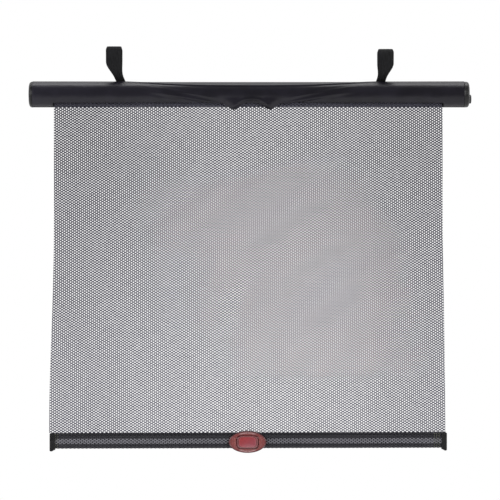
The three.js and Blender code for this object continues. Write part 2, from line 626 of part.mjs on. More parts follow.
function meshScreen() {
  const [top, bottom] = [AXIS_Z - FIT, HEM_TOP + FIT];
  const edgeSteps = 10;
  const outline = [];
  for (let i = 0; i <= edgeSteps; i += 1) {
    const z = THREE.MathUtils.lerp(bottom, top, i / edgeSteps);
    outline.push(new THREE.Vector2(SCREEN_X + screenHalf(z), z));
  }
  for (let i = edgeSteps; i >= 0; i -= 1) {
    const z = THREE.MathUtils.lerp(bottom, top, i / edgeSteps);
    outline.push(new THREE.Vector2(SCREEN_X - screenHalf(z), z));
  }
  const shape = new THREE.Shape(outline);
  const netTop = AXIS_Z - FULL_RADIUS - 1;
  const [cellX, cellZ] = [SCREEN_WIDTH / (GAP_COLUMNS + 0.5), (netTop - bottom) / GAP_ROWS];
  for (let row = 0; row < GAP_ROWS; row += 1) {
    const z = bottom + (row + 0.5) * cellZ;
    for (let column = 0; column < GAP_COLUMNS; column += 1) {
      const x = SCREEN_X - SCREEN_WIDTH / 2 + (column + 0.5 + (row % 2) / 2) * cellX;
      const [w, h] = [(GAP_SHARE * cellX) / 2, (GAP_SHARE * cellZ) / 2];
      const gap = new THREE.Path([
        new THREE.Vector2(x - w, z),
        new THREE.Vector2(x, z + h),
        new THREE.Vector2(x + w, z),
        new THREE.Vector2(x, z - h),
      ]);
      shape.holes.push(gap);
    }
  }
  const wall = fromFront(shape, SCREEN_Y - SCREEN_WALL / 2, SCREEN_Y + SCREEN_WALL / 2);
  const half = SCREEN_WALL / 2 + COURSE_PROUD;
  const courses = Array.from({ length: GAP_ROWS - 1 }, (_, row) => {
    const z = bottom + (row + 1) * cellZ;
    const reach = screenHalf(z) - 1;
    return block(SCREEN_X - reach, SCREEN_X + reach, SCREEN_Y - half, SCREEN_Y + half,
      z - COURSE_WIDTH / 2, z + COURSE_WIDTH / 2);
  });
  return join(wall, ...courses);
}

// Hem: a flattened pocket of the same mesh with a batten in it and a binding over each end
function postHoles(front, back) {
  return [-1, 1].map((side) => {
    const hole = new THREE.CylinderGeometry(POST_RADIUS + FIT, POST_RADIUS + FIT, back - front, 14);
    return hole.translate(BADGE_X + (side * POST_SPACING) / 2, (front + back) / 2, BADGE_Z + BADGE_DROP);
  });
}

function hemSection(width, height) {
  const shape = stadium(width, height);
  const points = shape.getPoints(4).map((p) => new THREE.Vector2(p.x + SCREEN_Y, p.y + HEM_Z));
  return new THREE.Shape(points);
}

function hemPocket() {
  const section = hemSection(HEM_THICKNESS, HEM_HEIGHT);
  section.holes.push(holeOf(hemSection(HEM_THICKNESS - 2 * HEM_WALL, HEM_HEIGHT - 2 * HEM_WALL)));
  const tube = alongX(section, SCREEN_X - HEM_HALF, SCREEN_X + HEM_HALF);
  return cut(tube, ...postHoles(SCREEN_Y - HEM_THICKNESS, SCREEN_Y + HEM_THICKNESS));
}

function hemBatten() {
  const thickness = HEM_THICKNESS - 2 * HEM_WALL - 2 * FIT;
  const height = HEM_HEIGHT - 2 * HEM_WALL - 2 * BATTEN_EDGE_GAP;
  const bar = alongX(hemSection(thickness, height), SCREEN_X - HEM_HALF + 1, SCREEN_X + HEM_HALF - 1);
  return cut(bar, ...postHoles(SCREEN_Y - HEM_THICKNESS, SCREEN_Y + HEM_THICKNESS));
}

function binding(side, length) {
  const inner = hemSection(HEM_THICKNESS + 2 * FIT, HEM_HEIGHT + 2 * FIT);
  const thickness = HEM_THICKNESS + 2 * FIT + 2 * BINDING_WALL;
  const [top, bottom] = [HEM_TOP, HEM_TOP - HEM_HEIGHT - BINDING_DROP];
  const height = top - bottom + 2 * FIT + 2 * BINDING_WALL;
  const end = SCREEN_X + side * (HEM_HALF + FIT + BINDING_WALL);
  const mouth = end - side * length;
  const middle = SCREEN_X + side * (HEM_HALF + FIT);
  const outer = new THREE.Shape(stadium(thickness, height).getPoints(4)
    .map((p) => new THREE.Vector2(p.x + SCREEN_Y, p.y + (top + bottom) / 2)));
  const body = alongX(outer, Math.min(end, mouth), Math.max(end, mouth));
  const cavity = alongX(inner, Math.min(middle, mouth - side), Math.max(middle, mouth - side));
  const slit = block(Math.min(middle, mouth - side), Math.max(middle, mouth - side),
    SCREEN_Y - SCREEN_WALL / 2 - FIT, SCREEN_Y + SCREEN_WALL / 2 + FIT, HEM_TOP - 1, HEM_TOP + 5);
  return cut(body, cavity, slit);
}

// Badge: an oval front with a window over a colour card, held through the hem by two posts
function oval(width, height) {
  const shape = new THREE.Shape();
  shape.absellipse(BADGE_X, BADGE_Z, width / 2, height / 2, 0, 2 * Math.PI, false, 0);
  return shape;
}

function arcBar(side, half, radiusShare) {
  const [a, b] = [(BADGE_WIDTH / 2) * radiusShare, (BADGE_HEIGHT / 2) * radiusShare];
  const points = [];
  const steps = 4;
  for (const [scale, order] of [[1, 1], [0.88, -1]]) {
    for (let i = 0; i <= steps; i += 1) {
      const share = order > 0 ? i / steps : 1 - i / steps;
      const angle = radians(side * (90 + half * THREE.MathUtils.lerp(3, 24, share)));
      points.push(new THREE.Vector2(BADGE_X + a * scale * Math.cos(angle), BADGE_Z + b * scale * Math.sin(angle)));
    }
  }
  const clockwise = THREE.ShapeUtils.isClockWise(points);
  return new THREE.Shape(clockwise ? points.reverse() : points);
}

function badgeFront() {
  const shape = oval(BADGE_WIDTH - 2 * BADGE_ROUND, BADGE_HEIGHT - 2 * BADGE_ROUND);
  const opening = roundedRectangle(WINDOW_WIDTH, WINDOW_HEIGHT, WINDOW_CORNER, BADGE_X, BADGE_Z);
  const face = BADGE_FRONT_Y - BADGE_DEPTH;
  const body = fromFront(shape, face + BADGE_ROUND, BADGE_FRONT_Y - BADGE_ROUND, {
    bevelEnabled: true,
    bevelThickness: BADGE_ROUND,
    bevelSize: BADGE_ROUND,
    bevelSegments: 2,
    curveSegments: 16,
  });
  const window = fromFront(opening, face - 1, BADGE_FRONT_Y + 1, { curveSegments: 5 });
  const flatHalf = BADGE_WIDTH / 2 - BADGE_ROUND;
  const field = flatHalf - WINDOW_WIDTH / 2;
  const ribs = [];
  const arcs = [];
  for (const side of [-1, 1]) {
    for (let i = 0; i < BADGE_RIBS; i += 1) {
      const out = WINDOW_WIDTH / 2 + (field * (i + 1.3)) / (BADGE_RIBS + 1.5);
      const reach = 0.72 * (BADGE_HEIGHT / 2 - BADGE_ROUND) * Math.sqrt(1 - (out / flatHalf) ** 2);
      const x = BADGE_X + side * out;
      ribs.push(block(x - RIB_HALF, x + RIB_HALF, face - RELIEF, face + 0.5, BADGE_Z - reach, BADGE_Z + reach));
    }
    for (const half of [-1, 1]) arcs.push(fromFront(arcBar(side, half, 0.93), face - RELIEF, face + 0.5));
  }
  const posts = [-1, 1].map((side) => {
    const length = BADGE_BACK_Y + BADGE_BACK_DEPTH / 2 - BADGE_FRONT_Y + 0.5;
    const post = new THREE.CylinderGeometry(POST_RADIUS, POST_RADIUS, length, 14);
    return post.translate(BADGE_X + (side * POST_SPACING) / 2, BADGE_FRONT_Y - 0.5 + length / 2,
      BADGE_Z + BADGE_DROP);
  });
  return join(cut(body, window), ...ribs, ...arcs, ...posts);
}

function badgeWindow() {
  const [width, height] = [WINDOW_WIDTH - 2 * FIT, WINDOW_HEIGHT - 2 * FIT];
  const round = 0.35;
  const shape = roundedRectangle(width - 2 * round, height - 2 * round, WINDOW_CORNER - FIT - round,
    BADGE_X, BADGE_Z);
  const face = BADGE_FRONT_Y - BADGE_DEPTH + 0.4;
  return fromFront(shape, face + round, face + WINDOW_DEPTH - round, {
    bevelEnabled: true,
    bevelThickness: round,
    bevelSize: round,
    bevelSegments: 1,
    curveSegments: 4,
  });
}

function badgeInsert() {
  const shape = roundedRectangle(WINDOW_WIDTH - 2 * FIT, WINDOW_HEIGHT - 2 * FIT, WINDOW_CORNER - FIT,
    BADGE_X, BADGE_Z);
  const front = BADGE_FRONT_Y - BADGE_DEPTH + 0.4 + WINDOW_DEPTH + FIT;
  return fromFront(shape, front, front + INSERT_DEPTH, { curveSegments: 4 });
}

function badgeBack() {
  const round = 0.8;
  const shape = oval(BADGE_WIDTH - 2 * round, BADGE_HEIGHT - 2 * round);
  const body = fromFront(shape, BADGE_BACK_Y + round, BADGE_BACK_Y + BADGE_BACK_DEPTH - round, {
    bevelEnabled: true,
    bevelThickness: round,
    bevelSize: round,
    bevelSegments: 1,
    curveSegments: 16,
  });
  return cut(body, ...postHoles(BADGE_BACK_Y - 1, BADGE_BACK_Y + BADGE_BACK_DEPTH / 2 + FIT));
}

// Straps: a webbing loop whose two ends are sewn down together behind the top of the cover
function strapCentreLine(rise) {
  const near = FULL_RADIUS + FIT + WEB_WALL / 2;
  const far = near + WEB_WALL + FIT;
  const crown = COVER_RADIUS + rise + WEB_WALL / 2;
  const half = LOOP_DEPTH / 2 + WEB_WALL / 2;
  const bend = half - LOOP_FLAT / 2;
  const shoulder = crown - bend;
  const tail = (radius, share) => {
    const angle = radians(THREE.MathUtils.lerp(TAIL_START, TAIL_END, share));
    return new THREE.Vector2(radius * Math.sin(angle), radius * Math.cos(angle));
  };
  const leg = (radius, side, lead, pull) => {
    const foot = tail(radius, 1);
    const slope = radians(TAIL_END);
    const lean = new THREE.Vector2(foot.x - lead * Math.cos(slope), foot.y + lead * Math.sin(slope));
    const knee = new THREE.Vector2(side * half, shoulder - pull);
    return new THREE.CubicBezierCurve(foot, lean, knee, new THREE.Vector2(side * half, shoulder));
  };
  const front = leg(near, -1, 8, 11);
  const back = leg(far, 1, 2.5, 14);
  const line = [];
  for (let i = 0; i < 4; i += 1) line.push(tail(near, i / 4));
  for (let i = 0; i < 9; i += 1) line.push(front.getPoint(i / 9));
  for (let i = 0; i <= 4; i += 1) {
    const turn = (Math.PI / 2) * (i / 4);
    line.push(new THREE.Vector2(-LOOP_FLAT / 2 - bend * Math.cos(turn), shoulder + bend * Math.sin(turn)));
  }
  line.push(new THREE.Vector2(-LOOP_FLAT / 6, crown), new THREE.Vector2(LOOP_FLAT / 6, crown));
  for (let i = 4; i >= 0; i -= 1) {
    const turn = (Math.PI / 2) * (i / 4);
    line.push(new THREE.Vector2(LOOP_FLAT / 2 + bend * Math.cos(turn), shoulder + bend * Math.sin(turn)));
  }
  for (let i = 8; i >= 0; i -= 1) line.push(back.getPoint(i / 9));
  for (let i = 3; i >= 0; i -= 1) line.push(tail(far, i / 4));
  return { line, crown };
}

function strap(loopX, footShift, rise) {
  const { line, crown } = strapCentreLine(rise);
  const foot = FULL_RADIUS + 1;
  const across = 3;
  const rings = line.map((point, i) => {
    const before = line[Math.max(i - 1, 0)];
    const after = line[Math.min(i + 1, line.length - 1)];
    const tangent = after.clone().sub(before).normalize();
    const normal = new THREE.Vector2(-tangent.y, tangent.x);
    const height = THREE.MathUtils.clamp((point.y - foot) / (crown - foot), 0, 1);
    const open = smooth(height, 0.08, 0.62);
    const width = THREE.MathUtils.lerp(WEB_PINCH, WEB_WIDTH, open) - 1.8 * smooth(height, 0.9, 1);
    const x = loopX + footShift * (1 - smooth(height, -0.25, 0.55));
    const bow = 1.1 * bell(height, 0.22, 0.14);
    const [outer, inner] = [[], []];
    for (let j = 0; j <= across; j += 1) {
      const share = j / across - 0.5;
      const lift = bow * (1 - 4 * share * share);
      const place = (offset) => new THREE.Vector3(
        x + share * width,
        point.x + normal.x * (offset + lift),
        AXIS_Z + point.y + normal.y * (offset + lift),
      );
      outer.push(place(WEB_WALL / 2));
      inner.push(place(-WEB_WALL / 2));
    }
    return [...outer, ...inner.reverse()];
  });
  return loft(rings);
}

// Materials
const finish = (color, roughness, metalness = 0) => new THREE.MeshStandardMaterial({ color, roughness, metalness });
const vinyl = finish(0x232227, 0.5);
const webbing = finish(0x1d1d1e, 0.85);
const capPlastic = finish(0x232323, 0.45);
const aluminium = finish(0xb4b5b8, 0.4, 1);
const whitePlastic = finish(0xd8d8d4, 0.5);
const steel = finish(0x8d9094, 0.35, 1);
const screenKnit = finish(0x55545b, 0.8);
const hemKnit = finish(0x2c2b30, 0.75);
const bindingCloth = finish(0x262628, 0.9);
const battenPlastic = finish(0x2a2a2e, 0.35);
const redPlastic = finish(0x7d2b30, 0.4);
const clearRed = finish(0x9a3b44, 0.15);
const cardRed = finish(0x94454c, 0.6);
const buttonPlastic = finish(0x3a3a3c, 0.5);

const sunshade = new THREE.Group();

function add(name, geometry, material) {
  const mesh = new THREE.Mesh(geometry, material);
  mesh.name = name;
  sunshade.add(mesh);
}

// Tube, cover, caps and straps
add('cassette_tube', slottedTube(), aluminium);
add('cover_sleeve', softCover(), vinyl);
add('left_end_cap', leftEndCap(), capPlastic);
add('right_end_cap', rightEndCap(), capPlastic);
add('left_strap', strap(LEFT_LOOP_X, LEFT_FOOT_SHIFT, LEFT_RISE), webbing);
add('right_strap', strap(RIGHT_LOOP_X, RIGHT_FOOT_SHIFT, RIGHT_RISE), webbing);

// Spring and its fixed shaft
add('spring_arbor', springArbor(), steel);
add('torsion_spring', torsionSpring(), steel);
add('spring_collar', springCollar(), whitePlastic);

// Release
add('button_retainer', buttonRetainer(), whitePlastic);
add('axle_pin', axlePin(), steel);
add('release_button', releaseButton(), buttonPlastic);
add('button_spring', buttonSpring(), steel);

// Roller
add('roller_tube', rollerTube(), aluminium);
add('clamp_strip', clampStrip(), whitePlastic);
add('wound_mesh', woundScreen(), screenKnit);
add('bearing_plug', bearingPlug(), whitePlastic);
add('ratchet_plug', ratchetPlug(), whitePlastic);

// Screen and hem
add('mesh_screen', meshScreen(), screenKnit);
add('hem_pocket', hemPocket(), hemKnit);
add('hem_batten', hemBatten(), battenPlastic);
add('left_hem_binding', binding(-1, LEFT_BINDING_LENGTH), bindingCloth);
add('right_hem_binding', binding(1, RIGHT_BINDING_LENGTH), bindingCloth);

// Badge
add('badge_front', badgeFront(), redPlastic);
add('badge_window', badgeWindow(), clearRed);
add('badge_insert', badgeInsert(), cardRed);
add('badge_back', badgeBack(), redPlastic);

export default sunshade;
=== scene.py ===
import bpy
import bmesh
import math
import numpy as np
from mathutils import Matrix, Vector


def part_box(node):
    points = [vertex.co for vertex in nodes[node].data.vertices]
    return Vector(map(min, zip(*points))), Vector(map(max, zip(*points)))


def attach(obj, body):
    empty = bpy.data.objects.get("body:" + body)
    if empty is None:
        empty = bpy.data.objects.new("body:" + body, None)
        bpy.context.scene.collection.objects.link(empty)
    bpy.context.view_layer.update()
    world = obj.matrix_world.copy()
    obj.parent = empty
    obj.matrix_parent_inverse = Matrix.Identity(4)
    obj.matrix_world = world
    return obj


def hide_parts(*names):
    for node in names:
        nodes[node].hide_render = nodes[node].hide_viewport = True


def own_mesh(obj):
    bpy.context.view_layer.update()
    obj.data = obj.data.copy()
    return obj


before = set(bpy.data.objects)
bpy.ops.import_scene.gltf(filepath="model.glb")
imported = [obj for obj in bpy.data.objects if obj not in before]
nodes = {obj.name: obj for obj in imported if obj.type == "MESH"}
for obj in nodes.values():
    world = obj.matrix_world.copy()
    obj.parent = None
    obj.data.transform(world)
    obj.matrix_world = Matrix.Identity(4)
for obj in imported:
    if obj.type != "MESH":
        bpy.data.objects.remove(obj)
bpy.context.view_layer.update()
MM = 0.001

# Sizes, in millimetres
BAR_LENGTH = 500
AXIS_Z = -53.4
COVER_RADIUS = 14.3
COVER_WALL = 0.7
COVER_SLACK = 0.3
SLOT_FRONT, SLOT_REAR = 43, 72
LEFT_PUCKER, RIGHT_PUCKER = -17, 22.5
LIP_DIP, LIP_DIP_WIDTH = 5.2, 8.5
LEFT_RIM, RIGHT_RIM = -246, 244
SCREEN_X, SCREEN_Y = -1, -7.725
SCREEN_HALF = 220
SCREEN_TOP, SCREEN_BOTTOM = -53.8, -436.7
PITCH_X, PITCH_Z = 4.575, 2.967
HEM_Z = -445.4
HEM_HEIGHT, HEM_THICKNESS = 18.2, 5.6
HEM_LEFT, HEM_RIGHT = -225, 223
HEM_TILT = 0.0025
BADGE_X, BADGE_Z = -1.8, -447.0
BADGE_HALF_X, BADGE_HALF_Z = 21.3, 12.3
BADGE_BASE, BADGE_FACE = -10.9, -14.0
WINDOW_HALF_X, WINDOW_HALF_Z, WINDOW_CORNER = 12.95, 7.85, 5
POST_HALF_SPACING, POST_RISE = 16.5, 1.6
POST_RADIUS, POST_CLEAR = 1.4, 0.3
WEB_WALL = 1.3
WEB_WIDTH = 18.2
LOOP_DEPTH = 13
LEFT_LOOP_X, RIGHT_LOOP_X = -153.2, 154.8
LEFT_LOOP_RISE, RIGHT_LOOP_RISE = 39.1, 36.1
LEFT_FOOT_SHIFT, RIGHT_FOOT_SHIFT = 9.3, -6.6
FOOT_WIDTH = 10.6
BATTEN_LEFT, BATTEN_RIGHT = -219.4, 218.4
BATTEN_HALF_DEPTH, BATTEN_HALF_HEIGHT, BATTEN_BEVEL = 2.1, 8.45, 0.4
LEFT_BINDING, RIGHT_BINDING = 6.2, 6
BINDING_TOP, BINDING_BOTTOM, BINDING_WALL = -437.9, -454.9, 0.6
NET_CREST, HEM_CREST = 0.33, 0.3
SCREEN_WIDTHS = (144, 150, 150)


# Node trees
class Plug:
    """A node socket that takes part in sums, with one method that adds any other node."""

    def __init__(self, tree, socket=None):
        self.tree = tree
        self.socket = socket

    def node(self, kind, inputs=None, out=0, **settings):
        made = self.tree.nodes.new(kind)
        for key, value in settings.items():
            setattr(made, key, value)
        for key, value in (inputs or {}).items():
            target = made.inputs[key]
            if isinstance(value, Plug):
                self.tree.links.new(value.socket, target)
            else:
                target.default_value = value
        return Plug(self.tree, made.outputs[out])

    def math(self, operation, *others):
        inputs = dict(enumerate((self,) + others))
        return self.node("ShaderNodeMath", inputs, operation=operation)

    def __add__(self, other):
        return self.math("ADD", other)

    __radd__ = __add__

    def __mul__(self, other):
        return self.math("MULTIPLY", other)

    __rmul__ = __mul__

    def __sub__(self, other):
        return self.math("SUBTRACT", other)

    def __rsub__(self, other):
        return self * -1 + other

    def __truediv__(self, other):
        return self.math("DIVIDE", other)

    def __neg__(self):
        return self * -1

    def clamp(self, low, high):
        return self.node("ShaderNodeClamp", {0: self, 1: low, 2: high})

    def smooth(self, low, high):
        settings = {"interpolation_type": "SMOOTHSTEP"}
        return self.node("ShaderNodeMapRange", {0: self, 1: low, 2: high}, **settings)

    def bell(self, centre, width):
        scaled = (self - centre) / width
        return (scaled * scaled * -1).math("EXPONENT")

    def xyz(self):
        split = self.node("ShaderNodeSeparateXYZ", {0: self}).socket.node
        return [Plug(self.tree, socket) for socket in split.outputs]

    def join(self, x, y, z):
        return self.node("ShaderNodeCombineXYZ", {0: x, 1: y, 2: z})

    def scaled(self, x, y, z):
        return self.node("ShaderNodeVectorMath", {0: self, 1: (x, y, z)}, operation="MULTIPLY")

    def noise(self, scale, detail=2.0, roughness=0.5):
        inputs = {"Vector": self, "Scale": scale, "Detail": detail, "Roughness": roughness}
        return self.node("ShaderNodeTexNoise", inputs)

    def mix(self, low, high):
        return self.node("ShaderNodeMix", {0: self, 6: low, 7: high}, out=2, data_type="RGBA")


def colour(red, green, blue):
    """A colour written as it looks on a screen, 0 to 255, as the shader takes it."""
    def linear(level):
        share = level / 255
        return share / 12.92 if share <= 0.04045 else ((share + 0.055) / 1.055) ** 2.4
    return (linear(red), linear(green), linear(blue), 1.0)


def material(name, rough, paint, metallic=0.0, coat=0.0, **constants):
    """A material whose paint(plug, place) gives the sockets that vary, where place is in millimetres."""
    made = bpy.data.materials.new(name)
    made.use_nodes = True
    tree = made.node_tree
    shader = tree.nodes["Principled BSDF"]
    shader.inputs["Roughness"].default_value = rough
    shader.inputs["Metallic"].default_value = metallic
    shader.inputs["Coat Weight"].default_value = coat
    for key, value in constants.items():
        shader.inputs[key.replace("_", " ")].default_value = value
    start = Plug(tree)
    place = start.node("ShaderNodeTexCoord", out="Object").scaled(1000, 1000, 1000)
    for key, value in paint(start, place).items():
        tree.links.new(value.socket, shader.inputs[key])
    made.diffuse_color = shader.inputs["Base Color"].default_value
    return made


def bump(height, distance, strength=1.0):
    inputs = {"Height": height, "Distance": distance * MM, "Strength": strength}
    return height.node("ShaderNodeBump", inputs)


# Materials
def paint_yarn(start, place):
    x, y, z = place.xyz()
    drop = (z * -1).smooth(60, 420)
    side = x.math("ABSOLUTE").smooth(60, 230)
    tone = drop * 0.55 + (side * -1 + 1) * 0.25 + place.noise(0.008, 2) * 0.3
    base = tone.clamp(0, 1).mix(colour(57, 56, 68), colour(104, 103, 120))
    fibre = place.noise(3.0, 3)
    shade = fibre.smooth(0.3, 0.7)
    return {
        "Base Color": (shade * 0.35).mix(base, colour(48, 47, 53)),
        "Normal": bump(fibre, 0.08),
    }


def paint_hem(start, place):
    x, y, z = place.xyz()
    level = z - x * HEM_TILT + (place.noise(0.03, 2) - 0.5) * 0.8
    # Painted highlight: a lighter band across the middle of the hem stands in for light on the batten seen
    # through the net.
    painted_highlight_band = level.smooth(-449.4, -448.3) * (1 - level.smooth(-443.6, -442.6))
    fibre = place.noise(3.0, 3)
    return {
        "Base Color": painted_highlight_band.mix(colour(46, 45, 52), colour(122, 121, 128)),
        "Normal": bump(fibre, 0.08),
    }


def paint_vinyl(start, place):
    broad = place.noise(0.05, 3)
    grain = place.noise(1.6, 4, 0.6)
    height = grain * 0.35 + place.scaled(0.4, 1, 1).noise(0.25, 3) * 1.4
    x, y, z = place.xyz()
    # Painted light: the vinyl is lighter towards the left end, mixed half and half with a broad random
    # mottle.
    mottle_and_left_light = (broad.smooth(0.35, 0.65) * 0.5 + x.smooth(60, -230) * 0.5).clamp(0, 1)
    return {
        "Base Color": mottle_and_left_light.mix(colour(17, 15, 23), colour(31, 29, 39)),
        "Roughness": grain * 0.14 + 0.3,
        "Normal": bump(height, 0.12),
    }


def paint_moulding(low, high, rough):
    def paint(start, place):
        cloud = place.noise(0.12, 2)
        grain = place.noise(4.0, 3, 0.6)
        return {
            "Base Color": cloud.smooth(0.35, 0.65).mix(low, high),
            "Roughness": grain * 0.12 + rough,
            "Normal": bump(grain, 0.02),
        }
    return paint


def paint_metal(low, high, rough):
    def paint(start, place):
        drawn = place.scaled(0.02, 3.0, 3.0).noise(1.0, 4, 0.6)
        return {
            "Base Color": drawn.smooth(0.3, 0.7).mix(low, high),
            "Roughness": drawn * 0.2 + rough,
            "Normal": bump(drawn, 0.015),
        }
    return paint


def paint_webbing(start, place):
    woven = start.node("ShaderNodeAttribute", out="Vector", attribute_name="place")
    along, across, _ = woven.xyz()
    rib = (along * (2 * math.pi / 1.15)).math("SINE")
    warp = (across * (2 * math.pi / 1.3)).math("SINE")
    weave = rib * warp
    cloud = place.noise(0.4, 3)
    worn = across.node("ShaderNodeCombineXYZ", {"X": along * 0.12, "Y": across * 0.9}).noise(1.0, 3)
    height = weave * 0.5 + rib * 0.35 + cloud * 0.3
    # Painted shade: the webbing is darker in the hollows of the weave, where its height is low, with random
    # streaks along the strap from the worn noise.
    lit = (height + 1) * 0.5 + (worn - 0.5) * 1.6
    return {
        "Base Color": lit.clamp(0, 1).mix(colour(5, 5, 6), colour(36, 36, 38)),
        "Normal": bump(height, 0.14),
    }


def paint_cloth(start, place):
    x, y, z = place.xyz()
    thread = (x * (2 * math.pi / 0.8)).math("SINE") * (z * (2 * math.pi / 0.7)).math("SINE")
    cloud = place.noise(0.3, 3)
    return {
        "Base Color": (thread * 0.25 + cloud).clamp(0, 1).mix(colour(22, 22, 23), colour(46, 46, 47)),
        "Normal": bump(thread + cloud * 0.6, 0.09),
    }


def paint_badge(start, place):
    x, y, z = place.xyz()
    dx = (x - BADGE_X) / BADGE_HALF_X
    dz = (z - BADGE_Z) / BADGE_HALF_Z
    ellipse = (dx * dx + dz * dz).math("SQRT")
    # Painted shade: the field turns dark red at the outer rim, where the badge rolls away.
    rim = ellipse.smooth(0.89, 0.96)
    arc = ellipse.bell(0.84, 0.09) * dx.math("ABSOLUTE").smooth(0.5, 0.38)
    # Painted shade: the face is darker where it lies further back than its raised ribs and arcs.
    painted_recess_shade = (y - BADGE_FACE).smooth(0.05, 0.3)
    field = arc.mix(colour(158, 80, 76), colour(190, 150, 150))
    field_with_rim_shade = rim.mix(field, colour(72, 24, 28))
    return {
        "Base Color": (painted_recess_shade * 0.6).mix(field_with_rim_shade, colour(92, 28, 32)),
        "Roughness": place.noise(1.0, 3) * 0.1 + 0.3,
    }


def paint_card(start, place):
    x, y, z = place.xyz()
    dx = ((x - BADGE_X) / (WINDOW_HALF_X - 0.3)).math("ABSOLUTE")
    dz = ((z - BADGE_Z) / (WINDOW_HALF_Z - 0.3)).math("ABSOLUTE")
    corner = (dx.math("POWER", 4) + dz.math("POWER", 4)).math("POWER", 0.25)
    ring = corner.smooth(0.74, 0.8)
    pale = corner.bell(0.86, 0.035) + corner.bell(0.72, 0.03) * 0.4
    warm = ((x - BADGE_X) * -0.04 + (z - BADGE_Z) * 0.06 + 0.5).clamp(0, 1)
    base = ring.mix(warm.mix(colour(148, 74, 84), colour(156, 58, 62)), colour(84, 26, 32))
    return {"Base Color": (pale * 0.6).mix(base, colour(190, 136, 136))}


yarn = material("yarn", 0.8, paint_yarn)
hem_yarn = material("hem_yarn", 0.75, paint_hem)
vinyl = material("vinyl", 0.4, paint_vinyl, Specular_IOR_Level=0.35)
cap_black = material("cap_black", 0.4, paint_moulding(colour(21, 21, 22), colour(26, 26, 27), 0.3),
                     Specular_IOR_Level=0.35)
button_grey = material("button_grey", 0.45, paint_moulding(colour(56, 56, 57), colour(62, 62, 63), 0.4))
white = material("acetal", 0.5, paint_moulding(colour(206, 206, 202), colour(216, 216, 212), 0.4))
batten = material("batten", 0.3, paint_moulding(colour(26, 26, 30), colour(32, 32, 36), 0.22))
aluminium = material("aluminium", 0.35, paint_metal((0.5, 0.5, 0.52, 1), (0.62, 0.62, 0.64, 1), 0.3), 1.0)
steel = material("steel", 0.35, paint_metal((0.4, 0.41, 0.43, 1), (0.56, 0.57, 0.59, 1), 0.25), 1.0)
webbing = material("webbing", 0.85, paint_webbing, Specular_IOR_Level=0.2)
cloth = material("binding", 0.9, paint_cloth, Specular_IOR_Level=0.2)
thread = material("thread", 0.7, paint_moulding(colour(92, 96, 76), colour(108, 110, 90), 0.6))
badge_red = material("badge_red", 0.35, paint_badge, coat=0.3)
window_red = material("window_red", 0.12, paint_card, coat=0.3)
card = material("card", 0.6, paint_card)

for name, finish in {
    "cassette_tube": aluminium, "spring_arbor": steel, "torsion_spring": steel,
    "spring_collar": white, "button_retainer": white, "axle_pin": steel, "button_spring": steel,
    "roller_tube": aluminium, "clamp_strip": white, "wound_mesh": yarn, "bearing_plug": white,
    "ratchet_plug": white, "hem_batten": batten, "badge_back": badge_red, "badge_insert": card,
    "release_button": button_grey, "cover_sleeve": vinyl, "left_end_cap": cap_black,
    "right_end_cap": cap_black, "left_strap": webbing, "right_strap": webbing,
    "mesh_screen": yarn, "hem_pocket": hem_yarn, "left_hem_binding": cloth,
    "right_hem_binding": cloth, "badge_front": badge_red, "badge_window": window_red,
}.items():
    mesh = nodes[name].data
    mesh.materials.clear()
    mesh.materials.append(finish)


# Building blocks
def smoothstep(value, low, high):
    share = np.clip((np.asarray(value, float) - low) / (high - low), 0, 1)
    return share * share * (3 - 2 * share)


def bell(value, centre, width):
    return np.exp(-(((value - centre) / width) ** 2))


def solid(name, points, faces, finish, place=None, flat=False):
    """A mesh object from points in millimetres, faces outwards, with its finish."""
    mesh = bpy.data.meshes.new(name)
    mesh.from_pydata((np.asarray(points, float).reshape(-1, 3) * MM).tolist(), [], faces)
    work = bmesh.new()
    work.from_mesh(mesh)
    bmesh.ops.recalc_face_normals(work, faces=work.faces)
    work.to_mesh(mesh)
    work.free()
    mesh.polygons.foreach_set("use_smooth", [not flat] * len(mesh.polygons))
    if place is not None:
        layer = mesh.attributes.new("place", "FLOAT_VECTOR", "POINT")
        layer.data.foreach_set("vector", np.asarray(place, float).ravel())
    mesh.materials.append(finish)
    made = bpy.data.objects.new(name, mesh)
    bpy.context.scene.collection.objects.link(made)
    return made


def loft_faces(count, size, ends):
    """Faces between count closed loops of size points. The ends are strips, fans or joined up."""
    last = count if ends == "wrap" else count - 1
    faces = []
    for i in range(last):
        a, b = i * size, ((i + 1) % count) * size
        faces += [(a + j, a + (j + 1) % size, b + (j + 1) % size, b + j) for j in range(size)]
    if ends == "strip":
        for base in (0, (count - 1) * size):
            faces += [(base + j, base + j + 1, base + size - 2 - j, base + size - 1 - j)
                      for j in range(size // 2 - 1)]
    if ends == "fan":
        faces += [tuple(range(size)), tuple(range((count - 1) * size, count * size))]
    return faces


def loft(name, rings, finish, ends="strip", place=None):
    rings = np.asarray(rings, float)
    faces = loft_faces(rings.shape[0], rings.shape[1], ends)
    return solid(name, rings, faces, finish, place)


def applied(made):
    """The object with its modifiers turned into plain mesh."""
    bpy.context.view_layer.update()
    seen = made.evaluated_get(bpy.context.evaluated_depsgraph_get())
    mesh = bpy.data.meshes.new_from_object(seen)
    made.modifiers.clear()
    made.data = mesh
    return made


